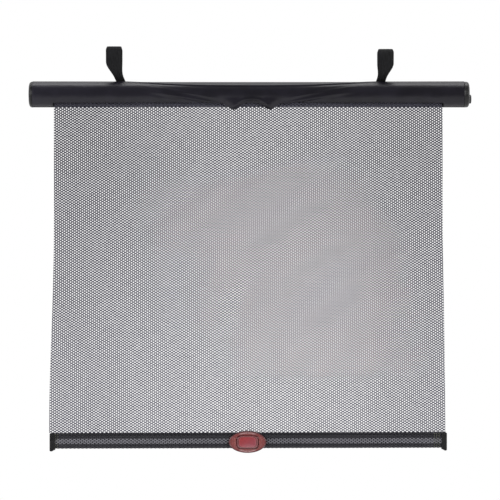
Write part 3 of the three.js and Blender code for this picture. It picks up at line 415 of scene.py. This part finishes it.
# Net: a cell with a hole, repeated in staggered rows
def net_cell(name, finish, width, height, crest):
    """One rhombus of the net: two crests of yarn round a six-sided hole with a thin edge."""
    w, h = width / 2, height / 2
    corners = [(w, 0), (0, h), (-w, 0), (0, -h)]
    hole = [(0.47, 0), (0.2, 0.54), (-0.2, 0.54), (-0.47, 0), (-0.2, -0.54), (0.2, -0.54)]
    points = [(x, -crest, z) for x, z in corners] + [(x, crest, z) for x, z in corners]
    points += [(x * w, 0, z * h) for x, z in hole]
    ring = [(0, 0, 1), (0, 1, None), (1, 1, 2), (1, 2, None), (2, 2, 3), (2, 3, None)]
    front = [(0, 8, 9), (0, 9, 1), (1, 9, 10), (1, 10, 2), (2, 10, 11),
             (2, 11, 12), (2, 12, 3), (3, 12, 13), (3, 13, 0), (0, 13, 8)]
    back = [tuple(i + 4 if i < 4 else i for i in face)[::-1] for face in front]
    made = solid(name, points, front + back, finish)
    mark = made.data.attributes.new("hole", "FLOAT", "POINT")
    mark.data.foreach_set("value", [0.0] * 8 + [1.0] * 6)
    return made


def net_tree(name, shape):
    """Geometry nodes that repeat a cell. shape places the cloth in space, in millimetres."""
    tree = bpy.data.node_groups.new(name, "GeometryNodeTree")
    face = tree.interface
    face.new_socket("Cell", in_out="INPUT", socket_type="NodeSocketGeometry")
    for label in ("First Column", "Columns", "Rows", "Seed"):
        face.new_socket(label, in_out="INPUT", socket_type="NodeSocketInt")
    for label in ("Pitch Across", "Pitch Down", "Turn", "Half Width", "Crest"):
        face.new_socket(label, in_out="INPUT", socket_type="NodeSocketFloat")
    face.new_socket("Finish", in_out="INPUT", socket_type="NodeSocketMaterial")
    face.new_socket("Net", in_out="OUTPUT", socket_type="NodeSocketGeometry")
    given = tree.nodes.new("NodeGroupInput")
    group = {socket.name: Plug(tree, socket) for socket in given.outputs if socket.name}
    start = Plug(tree)

    index = start.node("GeometryNodeInputIndex")
    columns, rows = group["Columns"], group["Rows"]
    row = (index / columns + 0.0001).math("FLOOR")
    column = index - row * columns + group["First Column"]
    shift = row.math("MODULO", 2) * 0.5
    across = (column + shift) * group["Pitch Across"]
    down = row * group["Pitch Down"] * 0.5
    lattice = start.join(across * MM, 0, down * MM)
    points = start.node("GeometryNodePoints", {"Count": columns * rows, "Position": lattice})
    named = points.node("GeometryNodeStoreNamedAttribute",
                        {"Geometry": points, "Name": "centre", "Value": lattice},
                        data_type="FLOAT_VECTOR", domain="POINT")
    # Cells whose middle lies past the edge of the cloth are left out
    turn = group["Turn"]
    turned = across + down * turn
    outside = (turned.math("ABSOLUTE") - group["Half Width"]).math("GREATER_THAN", PITCH_X * 0.45)
    kept = named.node("GeometryNodeDeleteGeometry", {"Geometry": named, "Selection": outside},
                      domain="POINT")
    placed = kept.node("GeometryNodeInstanceOnPoints", {"Points": kept, "Instance": group["Cell"]})
    net = placed.node("GeometryNodeRealizeInstances", {"Geometry": placed})
    net = net.node("GeometryNodeMergeByDistance", {"Geometry": net, "Distance": 0.02 * MM})

    spot = start.node("GeometryNodeInputPosition")
    # Where the cloth is cut, a narrow wall joins its front to its back
    faces = start.node("GeometryNodeInputMeshEdgeNeighbors")
    front = (-spot.xyz()[1]).math("GREATER_THAN", 0.1 * MM)
    cut = (1.5 - faces).math("GREATER_THAN", 0) * front
    across_wall = start.join(0, group["Crest"] * (2 * MM), 0)
    net = net.node("GeometryNodeExtrudeMesh", {"Mesh": net, "Selection": cut, "Offset": across_wall,
                                               "Offset Scale": 1.0}, mode="EDGES")
    net = net.node("GeometryNodeMergeByDistance", {"Geometry": net, "Distance": 0.02 * MM})
    centre = start.node("GeometryNodeInputNamedAttribute", {"Name": "centre"}, data_type="FLOAT_VECTOR")
    hole = start.node("GeometryNodeInputNamedAttribute", {"Name": "hole"}, data_type="FLOAT")
    cx, _, cz = centre.scaled(1000, 1000, 1000).xyz()
    px, py, pz = spot.scaled(1000, 1000, 1000).xyz()
    seed = group["Seed"]
    loose = start.join(cx, seed, cz).noise(0.9, 1) * 0.24 + 0.88
    spread = start.join(cx, seed, cz).noise(0.006, 2) * 0.05 + 0.975
    opening = cz.smooth(0, 380) * 0.11 + 0.95
    edge = (cx - 15).math("ABSOLUTE").smooth(20, 235) * -0.1 + 1.03
    scale = (loose * spread * opening * edge - 1) * hole + 1
    u = cx + (px - cx) * scale
    v = cz + (pz - cz) * scale
    keep = hole.math("GREATER_THAN", 0.5)
    u = px + (u - px) * keep
    v = pz + (v - pz) * keep
    straight = u + v * turn
    drop = v - u * turn
    wander = start.join(straight, seed, drop)
    straight = straight + (wander.noise(0.02, 2) - 0.5) * 0.6
    drop = drop + (start.join(straight, seed + 7, drop).noise(0.015, 2) - 0.5) * 0.8
    half = group["Half Width"]
    straight = straight.math("MAXIMUM", -half).math("MINIMUM", half)
    target = shape(start, straight, drop, py)
    moved = net.node("GeometryNodeSetPosition", {"Geometry": net, "Position": target})
    shaded = moved.node("GeometryNodeSetShadeSmooth", {"Geometry": moved, "Shade Smooth": True})
    finished = shaded.node("GeometryNodeSetMaterial", {"Geometry": shaded, "Material": group["Finish"]})
    result = tree.nodes.new("NodeGroupOutput")
    tree.links.new(finished.socket, result.inputs[0])
    return tree


def run_tree(made, tree, **values):
    """Runs a geometry node tree on an object with these inputs and keeps the plain mesh."""
    modifier = made.modifiers.new("nodes", "NODES")
    modifier.node_group = tree
    sockets = {item.name: item.identifier for item in tree.interface.items_tree if item.in_out == "INPUT"}
    for label, value in values.items():
        modifier[sockets[label.replace("_", " ")]] = value
    return applied(made)


def hang_screen(start, u, v, y):
    left = v.smooth(150, 380) * 5.4
    right = v.smooth(110, 380) * 3.1
    share = (u / SCREEN_HALF + 1) * 0.5
    x = u + SCREEN_X + share * right - (share * -1 + 1) * left
    z = v.math("MINIMUM", u * -HEM_TILT + (SCREEN_TOP - SCREEN_BOTTOM)) * -1 + SCREEN_TOP
    wave = (start.join(u, 3.0, v).noise(0.006, 1) - 0.5) * v.smooth(20, 120) * 1.4
    return start.join(x * MM, (y + wave + SCREEN_Y) * MM, z * MM)


screen_tree = net_tree("screen_net", hang_screen)
rows = math.ceil((SCREEN_TOP - SCREEN_BOTTOM) / (PITCH_Z / 2)) + 3
screen_parts = []
SCREEN_TURN = math.tan(math.radians(0.9))
for number, (first, count) in enumerate(((-54, 38), (-16, 33), (17, 34))):
    cell = net_cell(f"screen_net_{number + 1}", yarn, PITCH_X, PITCH_Z, NET_CREST)
    part = run_tree(cell, screen_tree, First_Column=first, Columns=count, Rows=rows, Seed=4,
                    Pitch_Across=PITCH_X, Pitch_Down=PITCH_Z, Turn=SCREEN_TURN,
                    Half_Width=float(SCREEN_HALF), Crest=NET_CREST, Finish=yarn)
    screen_parts.append(part)


# Hem: the net folded round the batten
HEM_STRAIGHT = HEM_HEIGHT - HEM_THICKNESS
HEM_ARC = math.pi * HEM_THICKNESS / 2
HEM_ROUND = 2 * (HEM_STRAIGHT + HEM_ARC)
HEM_ROWS = 28
HEM_HALF = (HEM_RIGHT - HEM_LEFT) / 2


def fold_hem(start, u, v, y):
    radius = HEM_THICKNESS / 2 - 0.35
    down = v.clamp(0, HEM_STRAIGHT)
    under = (v - HEM_STRAIGHT).clamp(0, HEM_ARC)
    up = (v - (HEM_STRAIGHT + HEM_ARC)).clamp(0, HEM_STRAIGHT)
    over = (v - (2 * HEM_STRAIGHT + HEM_ARC)).clamp(0, HEM_ARC)
    angle = (under + over) / (HEM_THICKNESS / 2)
    out = y * -1 + radius
    x = u + (HEM_LEFT + HEM_RIGHT) / 2
    front = angle.math("COSINE") * out * -1 + SCREEN_Y
    height = up - down + (HEM_Z + HEM_STRAIGHT / 2) - angle.math("SINE") * out + u * HEM_TILT
    return start.join(x * MM, front * MM, height * MM)


hem_tree = net_tree("hem_net", fold_hem)
HEM_PITCH = HEM_ROUND / HEM_ROWS * 2
cell = net_cell("hem_net", hem_yarn, PITCH_X, HEM_PITCH, HEM_CREST)
hem = run_tree(cell, hem_tree, First_Column=-50, Columns=101, Rows=HEM_ROWS, Seed=9,
               Pitch_Across=PITCH_X, Pitch_Down=HEM_PITCH, Turn=0.0,
               Half_Width=float(HEM_HALF - 0.3), Crest=HEM_CREST, Finish=hem_yarn)


def bored(made, tool):
    """The object less the tool, which is used up."""
    cutter = made.modifiers.new("bore", "BOOLEAN")
    cutter.operation = "DIFFERENCE"
    cutter.solver = "EXACT"
    cutter.object = tool
    made = applied(made)
    bpy.data.objects.remove(tool)
    return made


def post_rod(name, side, radius, front, rear, finish):
    """A rod along Y on the line of the badge's left (-1) or right (1) post."""
    turns = np.linspace(0, 2 * math.pi, 24, endpoint=False)
    x = BADGE_X + side * POST_HALF_SPACING + radius * np.cos(turns)
    z = BADGE_Z + POST_RISE + radius * np.sin(turns)
    rings = [np.stack([x, np.full(24, y), z], -1) for y in (front, rear)]
    return loft(name, rings, finish, "fan")


# Batten in the hem, with a hole for each of the badge's posts
def stadium(half_y, half_z, steps=16):
    bend = np.linspace(0, math.pi, steps)
    y, z = half_y * np.cos(bend), (half_z - half_y) + half_y * np.sin(bend)
    return np.concatenate([y, -y]), np.concatenate([z, -z])


def stiffener():
    y, z = stadium(BATTEN_HALF_DEPTH, BATTEN_HALF_HEIGHT)
    stations = [(BATTEN_LEFT, 0.96), (BATTEN_LEFT + BATTEN_BEVEL, 1),
                (BATTEN_RIGHT - BATTEN_BEVEL, 1), (BATTEN_RIGHT, 0.96)]
    rings = [np.stack([np.full(len(y), x), SCREEN_Y + y * grow, HEM_Z + z * grow + x * HEM_TILT], -1)
             for x, grow in stations]
    made = loft("stiffener", rings, batten, "fan")
    for side in (-1, 1):
        hole = post_rod("post_hole", side, POST_RADIUS + POST_CLEAR, -12, -3, batten)
        made = bored(made, hole)
    return made


batten_piece = stiffener()


# Cover
def cover_radius(x, below):
    foot = np.where(x < 0, -145.1, 148.7)
    pucker = np.where(x < 0, LEFT_PUCKER, RIGHT_PUCKER)
    middle = (LEFT_PUCKER + RIGHT_PUCKER) / 2
    along = np.clip(x / foot, 0, 1)
    span = np.maximum(0, (x - pucker) / (foot - pucker))
    between = (x > LEFT_PUCKER) & (x < RIGHT_PUCKER)
    full = COVER_SLACK * smoothstep(np.abs(x), 60, BAR_LENGTH / 2)
    upper = -43 - 42 * along ** 3
    ridge = 0.7 * bell(below, upper, 5) * smoothstep(1.06 - along, 0, 0.1)
    near_foot = smoothstep(along, 0.3, 0.8) * smoothstep(1.02 - along, 0, 0.08)
    groove = -0.5 * bell(below, upper + 7, 3.2) * near_foot
    lower = 64 - 95 * span ** 0.8
    fade = smoothstep(0.9 - span, 0, 0.45) * np.where(between, 0, 1)
    fold = 1.05 * bell(below, lower, 7) * fade - 0.4 * bell(below, lower + 13, 6) * fade
    second = 0.45 * bell(below, lower - 22, 5) * fade * smoothstep(span, 0.05, 0.3)
    bow = 22 + 22 * np.clip(((x - middle) / 19) ** 2, 0, 1.6)
    arch = 1.1 * bell(below, bow, 6) * bell(x, middle, 21)
    puckers = bell(x, LEFT_PUCKER, LIP_DIP_WIDTH) + bell(x, RIGHT_PUCKER, LIP_DIP_WIDTH)
    flare = LIP_DIP * puckers * smoothstep(below, 14, SLOT_FRONT + 8)
    ripple = 0.06 * np.sin(x / 7.0 + below / 9.0) * bell(below, 10, 40)
    return COVER_RADIUS + full + ridge + groove + fold + second + arch + flare + ripple


def cover():
    stretches = [(LEFT_RIM + 0.3, -216, 40), (-216, -60, 90), (-60, 66, 130), (66, 214, 90)]
    across = [np.linspace(first, last, steps, endpoint=False) for first, last, steps in stretches]
    across = np.concatenate(across + [np.linspace(214, RIGHT_RIM - 0.3, 40)])
    puckers = bell(across, LEFT_PUCKER, LIP_DIP_WIDTH) + bell(across, RIGHT_PUCKER, LIP_DIP_WIDTH)
    closed = smoothstep(np.abs(across - SCREEN_X), SCREEN_HALF + 0.4, SCREEN_HALF + 2.2)
    lip = (SLOT_FRONT + 19 * puckers) * (1 - closed) + (SLOT_REAR - 2.5) * closed
    turn = SLOT_FRONT - 7
    flap = np.linspace(0, 1, 8, endpoint=False)
    fine = np.concatenate([np.linspace(turn, -100, 52, endpoint=False),
                           np.linspace(-100, SLOT_REAR - 360, 24)])
    below = np.concatenate([lip[:, None] + (turn - lip[:, None]) * flap,
                            np.repeat(fine[None, :], len(across), 0)], 1)
    x = np.repeat(across[:, None], below.shape[1], 1)
    radius = cover_radius(x, below)
    wall = np.maximum(radius - COVER_WALL, COVER_RADIUS - COVER_WALL)
    angle = np.radians(below)
    skins = [np.stack([x, -r * np.cos(angle), AXIS_Z - r * np.sin(angle)], -1) for r in (radius, wall)]
    return loft("cover", np.concatenate([skins[0], skins[1][:, ::-1]], 1), vinyl)


cover_piece = cover()


# End caps
def turned(name, profile, finish, slot, centre=AXIS_Z, steps=96, ends="fan"):
    """A solid turned about a line along X, from (x, radius) points."""
    angles = np.linspace(0, 2 * math.pi, steps, endpoint=False)
    rings = [np.stack([np.full(steps, x), r * np.cos(angles), centre + r * np.sin(angles)], -1)
             for x, r in profile]
    return loft(name, rings, finish, ends)


def cap_profile(tip, rim, side):
    inner = 11.8
    mouth = rim - side * 9.5
    face = [(tip - side * 0.35 * (r / 10.5) ** 3, r) for r in np.linspace(0.6, 10.5, 8)]
    bend = [(tip - side * (0.35 + 3.0 * (1 - math.cos(t))), 10.5 + 4.05 * math.sin(t))
            for t in np.linspace(0.15, math.pi / 2, 12)]
    rest = [(rim + side * 0.5, 14.55), (rim + side * 0.22, 14.75), (rim, 14.75), (rim, 14.5), (rim, inner),
            (mouth, inner), (mouth, inner - 1.4), (tip - side * 1.6, inner - 1.4), (tip - side * 1.6, 0.6)]
    return face + bend + rest


left_cap = turned("left_cap", cap_profile(-250, LEFT_RIM, -1), cap_black, "cap_plastic", ends="wrap")
button_hole = turned("button_hole", [(246, 5.3), (253, 5.3)], cap_black, "cap_plastic", AXIS_Z - 5.2)
right_cap = turned("right_cap", cap_profile(250, RIGHT_RIM, 1), cap_black, "cap_plastic", ends="wrap")
right_cap = bored(right_cap, button_hole)


# Straps
def strap_line(rise):
    near = 14.6 + 0.3 + WEB_WALL / 2
    far = near + WEB_WALL + 0.3
    crown = COVER_RADIUS + rise + WEB_WALL / 2
    half = LOOP_DEPTH / 2 + WEB_WALL / 2
    bend = half - 2
    shoulder = crown - bend

    def tail(radius, share):
        angle = math.radians(58 + (24 - 58) * share)
        return np.array([radius * math.sin(angle), radius * math.cos(angle)])

    def leg(radius, side, lead, pull, share):
        foot = tail(radius, 1)
        slope = math.radians(24)
        knots = [foot, foot + np.array([-lead * math.cos(slope), lead * math.sin(slope)]),
                 np.array([side * half, shoulder - pull]), np.array([side * half, shoulder])]
        weights = [(1 - share) ** 3, 3 * share * (1 - share) ** 2, 3 * share ** 2 * (1 - share), share ** 3]
        return sum(w * k for w, k in zip(weights, knots))

    line = [tail(near, t) for t in np.linspace(0, 1, 10, endpoint=False)]
    line += [leg(near, -1, 8, 11, t) for t in np.linspace(0, 1, 44, endpoint=False)]
    line += [np.array([-2 - bend * math.cos(t), shoulder + bend * math.sin(t)])
             for t in np.linspace(0, math.pi / 2, 12)]
    line += [np.array([y, crown]) for y in (-1, 0, 1)]
    line += [np.array([2 + bend * math.cos(t), shoulder + bend * math.sin(t)])
             for t in np.linspace(math.pi / 2, 0, 12)]
    line += [leg(far, 1, 2.5, 14, t) for t in np.linspace(1, 0, 44, endpoint=False)][1:]
    line += [tail(far, t) for t in np.linspace(1, 0, 10)]
    return np.array(line), crown


def strap(name, loop_x, foot_shift, rise):
    line, crown = strap_line(rise)
    foot = 15.6
    tangent = np.gradient(line, axis=0)
    tangent /= np.linalg.norm(tangent, axis=1)[:, None]
    normal = np.stack([-tangent[:, 1], tangent[:, 0]], -1)
    run = np.concatenate([[0], np.cumsum(np.linalg.norm(np.diff(line, axis=0), axis=1))])
    height = np.clip((line[:, 1] - foot) / (crown - foot), 0, 1)
    opened = smoothstep(height, 0.1, 0.55)
    width = FOOT_WIDTH + (WEB_WIDTH - FOOT_WIDTH) * opened - 1.8 * smoothstep(height, 0.9, 1)
    middle = loop_x + foot_shift * (1 - smoothstep(height, -0.25, 0.55))
    bow = 1.1 * bell(height, 0.22, 0.14)
    gather = 0.42 * bell(height, 0.16, 0.16)
    share = np.linspace(-0.5, 0.5, 19)
    edge = np.sqrt(np.maximum(0.12, 1 - (np.abs(share) * 2) ** 10))
    rings, places = [], []
    for i, (y, z) in enumerate(line):
        lift = bow[i] * (1 - 4 * share ** 2) + gather[i] * np.cos(share * 2 * math.pi * 2.5 + 0.6)
        x = middle[i] + share * width[i]
        skins = []
        for offset in (WEB_WALL / 2, -WEB_WALL / 2):
            out = offset * edge + lift
            skins.append(np.stack([x, y + normal[i, 0] * out, AXIS_Z + z + normal[i, 1] * out], -1))
        rings.append(np.concatenate([skins[0], skins[1][::-1]]))
        row = np.stack([np.full(19, run[i]), share * WEB_WIDTH, np.zeros(19)], -1)
        places.append(np.concatenate([row, row[::-1]]))
    made = loft(name, rings, webbing, place=np.array(places))
    return made, run[-1]


left_strap, left_run = strap("left_loop", LEFT_LOOP_X, LEFT_FOOT_SHIFT, LEFT_LOOP_RISE)
right_strap, right_run = strap("right_loop", RIGHT_LOOP_X, RIGHT_FOOT_SHIFT, RIGHT_LOOP_RISE)


# Rows of stitches
def stitch_tree():
    """Geometry nodes that repeat one stitch along a line, each moved a little."""
    tree = bpy.data.node_groups.new("stitch_row", "GeometryNodeTree")
    face = tree.interface
    face.new_socket("Stitch", in_out="INPUT", socket_type="NodeSocketGeometry")
    face.new_socket("Count", in_out="INPUT", socket_type="NodeSocketInt")
    face.new_socket("Seed", in_out="INPUT", socket_type="NodeSocketInt")
    face.new_socket("First", in_out="INPUT", socket_type="NodeSocketVector")
    face.new_socket("Step", in_out="INPUT", socket_type="NodeSocketVector")
    face.new_socket("Wander", in_out="INPUT", socket_type="NodeSocketFloat")
    face.new_socket("Finish", in_out="INPUT", socket_type="NodeSocketMaterial")
    face.new_socket("Row", in_out="OUTPUT", socket_type="NodeSocketGeometry")
    given = tree.nodes.new("NodeGroupInput")
    group = {socket.name: Plug(tree, socket) for socket in given.outputs if socket.name}
    start = Plug(tree)
    index = start.node("GeometryNodeInputIndex")
    along = start.node("ShaderNodeVectorMath", {0: group["Step"], "Scale": index}, operation="SCALE")
    spot = start.node("ShaderNodeVectorMath", {0: along, 1: group["First"]}, operation="ADD")
    jitter = start.node("FunctionNodeRandomValue",
                        {0: (-1, 0, -1), 1: (1, 0, 1), "ID": index, "Seed": group["Seed"]},
                        data_type="FLOAT_VECTOR")
    nudge = start.node("ShaderNodeVectorMath", {0: jitter, "Scale": group["Wander"]}, operation="SCALE")
    spot = start.node("ShaderNodeVectorMath", {0: spot, 1: nudge}, operation="ADD")
    points = start.node("GeometryNodePoints", {"Count": group["Count"], "Position": spot})
    placed = points.node("GeometryNodeInstanceOnPoints", {"Points": points, "Instance": group["Stitch"]})
    real = placed.node("GeometryNodeRealizeInstances", {"Geometry": placed})
    finished = real.node("GeometryNodeSetMaterial", {"Geometry": real, "Material": group["Finish"]})
    result = tree.nodes.new("NodeGroupOutput")
    tree.links.new(finished.socket, result.inputs[0])
    return tree


row_tree = stitch_tree()


def stitches(name, first, last, count, length, radius=0.22):
    """Stitches from first to last, in millimetres, each a short rounded thread along the line."""
    first, last = Vector(first), Vector(last)
    step = (last - first) / (count - 1)
    along = step.normalized()
    side = Vector((0, 1, 0))
    other = along.cross(side).normalized()
    rings = []
    for share in np.linspace(-1, 1, 7):
        middle = along * (share * length / 2)
        fat = radius * math.sqrt(max(0.05, 1 - share ** 6))
        rings.append([middle + (side * math.cos(a) + other * math.sin(a)) * fat
                      for a in np.linspace(0, 2 * math.pi, 8, endpoint=False)])
    made = loft(name, rings, thread, "fan")
    return run_tree(made, row_tree, Count=count, Seed=3, First=first * MM, Step=step * MM,
                    Wander=0.08 * MM, Finish=thread)


# Bindings
def binding(name, side, length):
    """A cloth fold sewn over the end of the hem, open towards the middle."""
    top, bottom = BINDING_TOP + side * 0.5, BINDING_BOTTOM + side * 0.5
    thickness = HEM_THICKNESS + BINDING_WALL * 3
    height = top - bottom + BINDING_WALL * 3
    middle = (top + bottom) / 2
    end = (HEM_RIGHT + 0.9) if side > 0 else (HEM_LEFT - 0.9)
    steps = 64
    turn = np.linspace(0, 2 * math.pi, steps, endpoint=False)

    def outline(half_y, half_z, x):
        power = 0.42
        c, s = np.cos(turn), np.sin(turn)
        return np.stack([np.full(steps, x), SCREEN_Y + half_y * np.sign(c) * np.abs(c) ** power,
                         middle + half_z * np.sign(s) * np.abs(s) ** power], -1)

    rings = []
    outer_y, outer_z = thickness / 2, height / 2
    for share in np.linspace(0, 1, 24):
        pinch = 1 - smoothstep(share, 0, 0.2)
        corner = 1.6 * (1 - smoothstep(share, 0.35, 0.95))
        ring = outline(outer_y * (1 - 0.5 * pinch), outer_z * (1 - 0.05 * pinch), end - side * length * share)
        low = smoothstep(middle - ring[:, 2], outer_z * 0.4, outer_z)
        ring[:, 2] -= corner * low
        rings.append(ring)
    for share in np.linspace(1, 0.2, 8):
        rings.append(outline(outer_y - BINDING_WALL, outer_z - BINDING_WALL, end - side * length * share))
    return loft(name, rings, cloth, "fan")


left_binding = binding("left_binding", -1, LEFT_BINDING)
right_binding = binding("right_binding", 1, RIGHT_BINDING)
FRONT = SCREEN_Y - HEM_THICKNESS / 2 - 0.3
binding_rows = []
for label, places in (("left", (-219.2, -216.6)), ("right", (209.6, 212.2, 214.8))):
    for number, x in enumerate(places):
        lift = x * HEM_TILT
        first, last = (x, FRONT, -438.2 + lift), (x, FRONT, -452.8 + lift)
        row = stitches(f"{label}_stitches_{number + 1}", first, last, 7, 1.8)
        binding_rows.append(row)


# Badge
def window_line(angle, half_x, half_z, corner):
    """Points of a rounded rectangle, spread by angle about its middle."""
    c, s = np.cos(angle), np.sin(angle)
    reach = np.minimum(half_x / np.maximum(np.abs(c), 1e-6), half_z / np.maximum(np.abs(s), 1e-6))
    x, z = c * reach, s * reach
    for _ in range(30):
        over_x = np.maximum(np.abs(x) - (half_x - corner), 0)
        over_z = np.maximum(np.abs(z) - (half_z - corner), 0)
        distance = np.hypot(over_x, over_z) - corner
        x, z = x - c * distance * 0.7, z - s * distance * 0.7
    return x, z


def badge_front():
    steps = 256
    angle = np.linspace(0, 2 * math.pi, steps, endpoint=False)
    inner_x, inner_z = window_line(angle, WINDOW_HALF_X, WINDOW_HALF_Z, WINDOW_CORNER)
    ellipse = 1 / np.hypot(np.cos(angle) / BADGE_HALF_X, np.sin(angle) / BADGE_HALF_Z)
    outer_x, outer_z = ellipse * np.cos(angle), ellipse * np.sin(angle)

    def ring(share, y):
        x = inner_x + (outer_x - inner_x) * share
        z = inner_z + (outer_z - inner_z) * share
        return np.stack([BADGE_X + x, np.broadcast_to(y, x.shape), BADGE_Z + z], -1)

    def face(share):
        x = inner_x + (outer_x - inner_x) * share
        z = inner_z + (outer_z - inner_z) * share
        oval = np.hypot(x / BADGE_HALF_X, z / BADGE_HALF_Z)
        out = np.abs(x) - WINDOW_HALF_X
        tooth = 0.5 + 0.5 * np.cos((out - 1.9) * 2 * math.pi / 1.35)
        ribs = 0.34 * smoothstep(tooth, 0.35, 0.75) * smoothstep(out, 0.9, 1.3)
        ribs *= smoothstep(0.84 - oval, 0, 0.05)
        spread = np.degrees(np.arctan2(np.abs(x), np.abs(z) * BADGE_HALF_X / BADGE_HALF_Z))
        arcs = 0.34 * smoothstep(spread, 2, 3.5) * smoothstep(26 - spread, 0, 1.5)
        arcs *= smoothstep(oval, 0.79, 0.81) * smoothstep(0.9 - oval, 0, 0.02)
        lip = 0.3 * smoothstep(0.09 - share, 0, 0.04)
        edge = 0.35 * bell(oval, 0.955, 0.03)
        dome = 0.35 * (oval ** 2)
        return BADGE_FACE + 0.25 - ribs - arcs - lip - edge + dome

    rings = [ring(0, BADGE_BASE), ring(0, BADGE_FACE + 1.0)]
    shares = np.concatenate([np.linspace(0, 0.12, 6), np.linspace(0.14, 0.94, 44)])
    rings += [ring(share, face(share)) for share in shares]
    fall = face(np.array(0.94))
    for t in np.linspace(0.15, math.pi / 2, 10):
        y = fall + (BADGE_BASE - 1.2 - fall) * (1 - math.cos(t))
        rings.append(ring(0.94 + 0.06 * math.sin(t), y))
    rings += [ring(1.0, BADGE_BASE - 0.3), ring(0.985, BADGE_BASE)]
    return loft("badge", rings, badge_red, "wrap")


def badge_window():
    steps = 128
    angle = np.linspace(0, 2 * math.pi, steps, endpoint=False)
    x, z = window_line(angle, WINDOW_HALF_X - 0.3, WINDOW_HALF_Z - 0.3, WINDOW_CORNER - 0.3)
    face = BADGE_FACE + 0.35
    rings = []
    for share, y in [(0.9, face + 1.05), (0.99, face + 1.05), (1.0, face + 0.9), (1.0, face + 0.4),
                     (0.985, face + 0.15), (0.95, face)]:
        rings.append(np.stack([BADGE_X + x * share, np.full(steps, y), BADGE_Z + z * share], -1))
    for share in np.linspace(0.9, 0.05, 12):
        y = face - 0.25 * (1 - share ** 2)
        rings.append(np.stack([BADGE_X + x * share, np.full(steps, y), BADGE_Z + z * share], -1))
    return loft("window", rings, window_red, "fan")


badge = badge_front()
window = badge_window()
posts = [post_rod(f"{label}_post", side, POST_RADIUS, -11.0, -3.4, badge_red)
         for label, side in (("left", -1), ("right", 1))]


# Return spring of the button
def button_coil():
    low, high = (Vector(corner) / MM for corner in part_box("button_spring"))
    wire = 0.3
    middle_y, middle_z = (low.y + high.y) / 2, (low.z + high.z) / 2
    radius = (high.z - low.z) / 2 - wire
    rings = []
    for share in np.linspace(0, 1, 161):
        turn = share * 4 * 2 * math.pi
        x = low.x + wire + (high.x - low.x - 2 * wire) * share
        out = np.array([0, math.cos(turn), math.sin(turn)])
        rings.append([np.array([x, middle_y, middle_z]) + out * (radius + wire * math.cos(a))
                      + np.array([wire * math.sin(a), 0, 0])
                      for a in np.linspace(0, 2 * math.pi, 10, endpoint=False)])
    made = loft("button_coil", rings, steel, "fan")
    return made, high.x - low.x


coil, coil_length = button_coil()

# What the pieces ride on and stand for
for piece in [cover_piece, left_cap, right_cap, left_strap, right_strap, coil] + screen_parts:
    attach(piece, "cassette")
for piece in [hem, batten_piece, left_binding, right_binding, badge, window] + posts + binding_rows:
    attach(piece, "hem")
for piece, node in [
    (cover_piece, "cover_sleeve"), (left_cap, "left_end_cap"), (right_cap, "right_end_cap"),
    (left_strap, "left_strap"), (right_strap, "right_strap"), (hem, "hem_pocket"),
    (batten_piece, "hem_batten"), (left_binding, "left_hem_binding"),
    (right_binding, "right_hem_binding"), (badge, "badge_front"), (window, "badge_window"),
    (coil, "button_spring"),
]:
    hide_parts(node)
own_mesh(coil)
for part, width in zip(screen_parts, SCREEN_WIDTHS):
    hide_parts("mesh_screen")
    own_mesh(part)
    width * MM

# Floor, light and camera, in metres
FLOOR_Z = -0.62
floor_mesh = bpy.data.meshes.new("floor")
floor_corners = [(x, y, FLOOR_Z) for x, y in ((-2, -1.5), (2, -1.5), (2, 0.9), (-2, 0.9))]
floor_mesh.from_pydata(floor_corners, [], [(0, 1, 2, 3)])
floor = bpy.data.objects.new("floor", floor_mesh)
bpy.context.scene.collection.objects.link(floor)
pale = bpy.data.materials.new("pale_floor")
pale.use_nodes = True
pale_shader = pale.node_tree.nodes["Principled BSDF"]
pale_shader.inputs["Base Color"].default_value = (0.85, 0.85, 0.85, 1)
pale_shader.inputs["Roughness"].default_value = 0.9
floor_mesh.materials.append(pale)

world = bpy.data.worlds.new("studio")
bpy.context.scene.world = world
world.use_nodes = True
tree = world.node_tree
back = tree.nodes["Background"]
back.inputs["Color"].default_value = (1, 1, 1, 1)
ray = Plug(tree).node("ShaderNodeLightPath", out="Is Camera Ray")
clear = Plug(tree).node("ShaderNodeLightPath", out="Is Transmission Ray")
seen = ray.math("MAXIMUM", clear)
way = ray.node("ShaderNodeTexCoord", out="Generated").xyz()
behind = way[1].smooth(-0.25, 0.1)
under = way[2].smooth(-0.1, -0.6) * 0.25 + 0.16
lit = under + (1 - under) * behind
level = lit + (1 - lit) * seen
tree.links.new(level.socket, back.inputs["Strength"])


def lamp(name, place, size, power, target=(0, 0, -0.2)):
    data = bpy.data.lights.new(name, "AREA")
    data.shape = "RECTANGLE"
    data.size, data.size_y = size
    data.energy = power
    made = bpy.data.objects.new(name, data)
    made.location = place
    made.rotation_euler = (Vector(target) - Vector(place)).to_track_quat("-Z", "Y").to_euler()
    bpy.context.scene.collection.objects.link(made)
    return made


lamp("top", (0, 0.2, 1.0), (1.5, 0.4), 8)
lamp("left", (-2.1, -1.6, 0.5), (1.2, 1.4), 36)
lamp("right", (2.1, -1.6, 0.5), (1.2, 1.4), 36)

scene = bpy.context.scene
scene.view_settings.view_transform = "Standard"
SCALE = 1.1325
PICTURE = 500
AXIS_ROW = 94.2
DISTANCE = 3.0
lens_data = bpy.data.cameras.new("front_view")
lens_data.lens = 36 * DISTANCE / (PICTURE * SCALE * MM)
camera = bpy.data.objects.new("front_view", lens_data)
camera_z = AXIS_Z - (PICTURE / 2 - AXIS_ROW) * SCALE
camera.location = (0.99 * MM, SCREEN_Y * MM - DISTANCE, camera_z * MM)
camera.rotation_euler = (math.pi / 2, 0, 0)
scene.collection.objects.link(camera)
scene.camera = camera
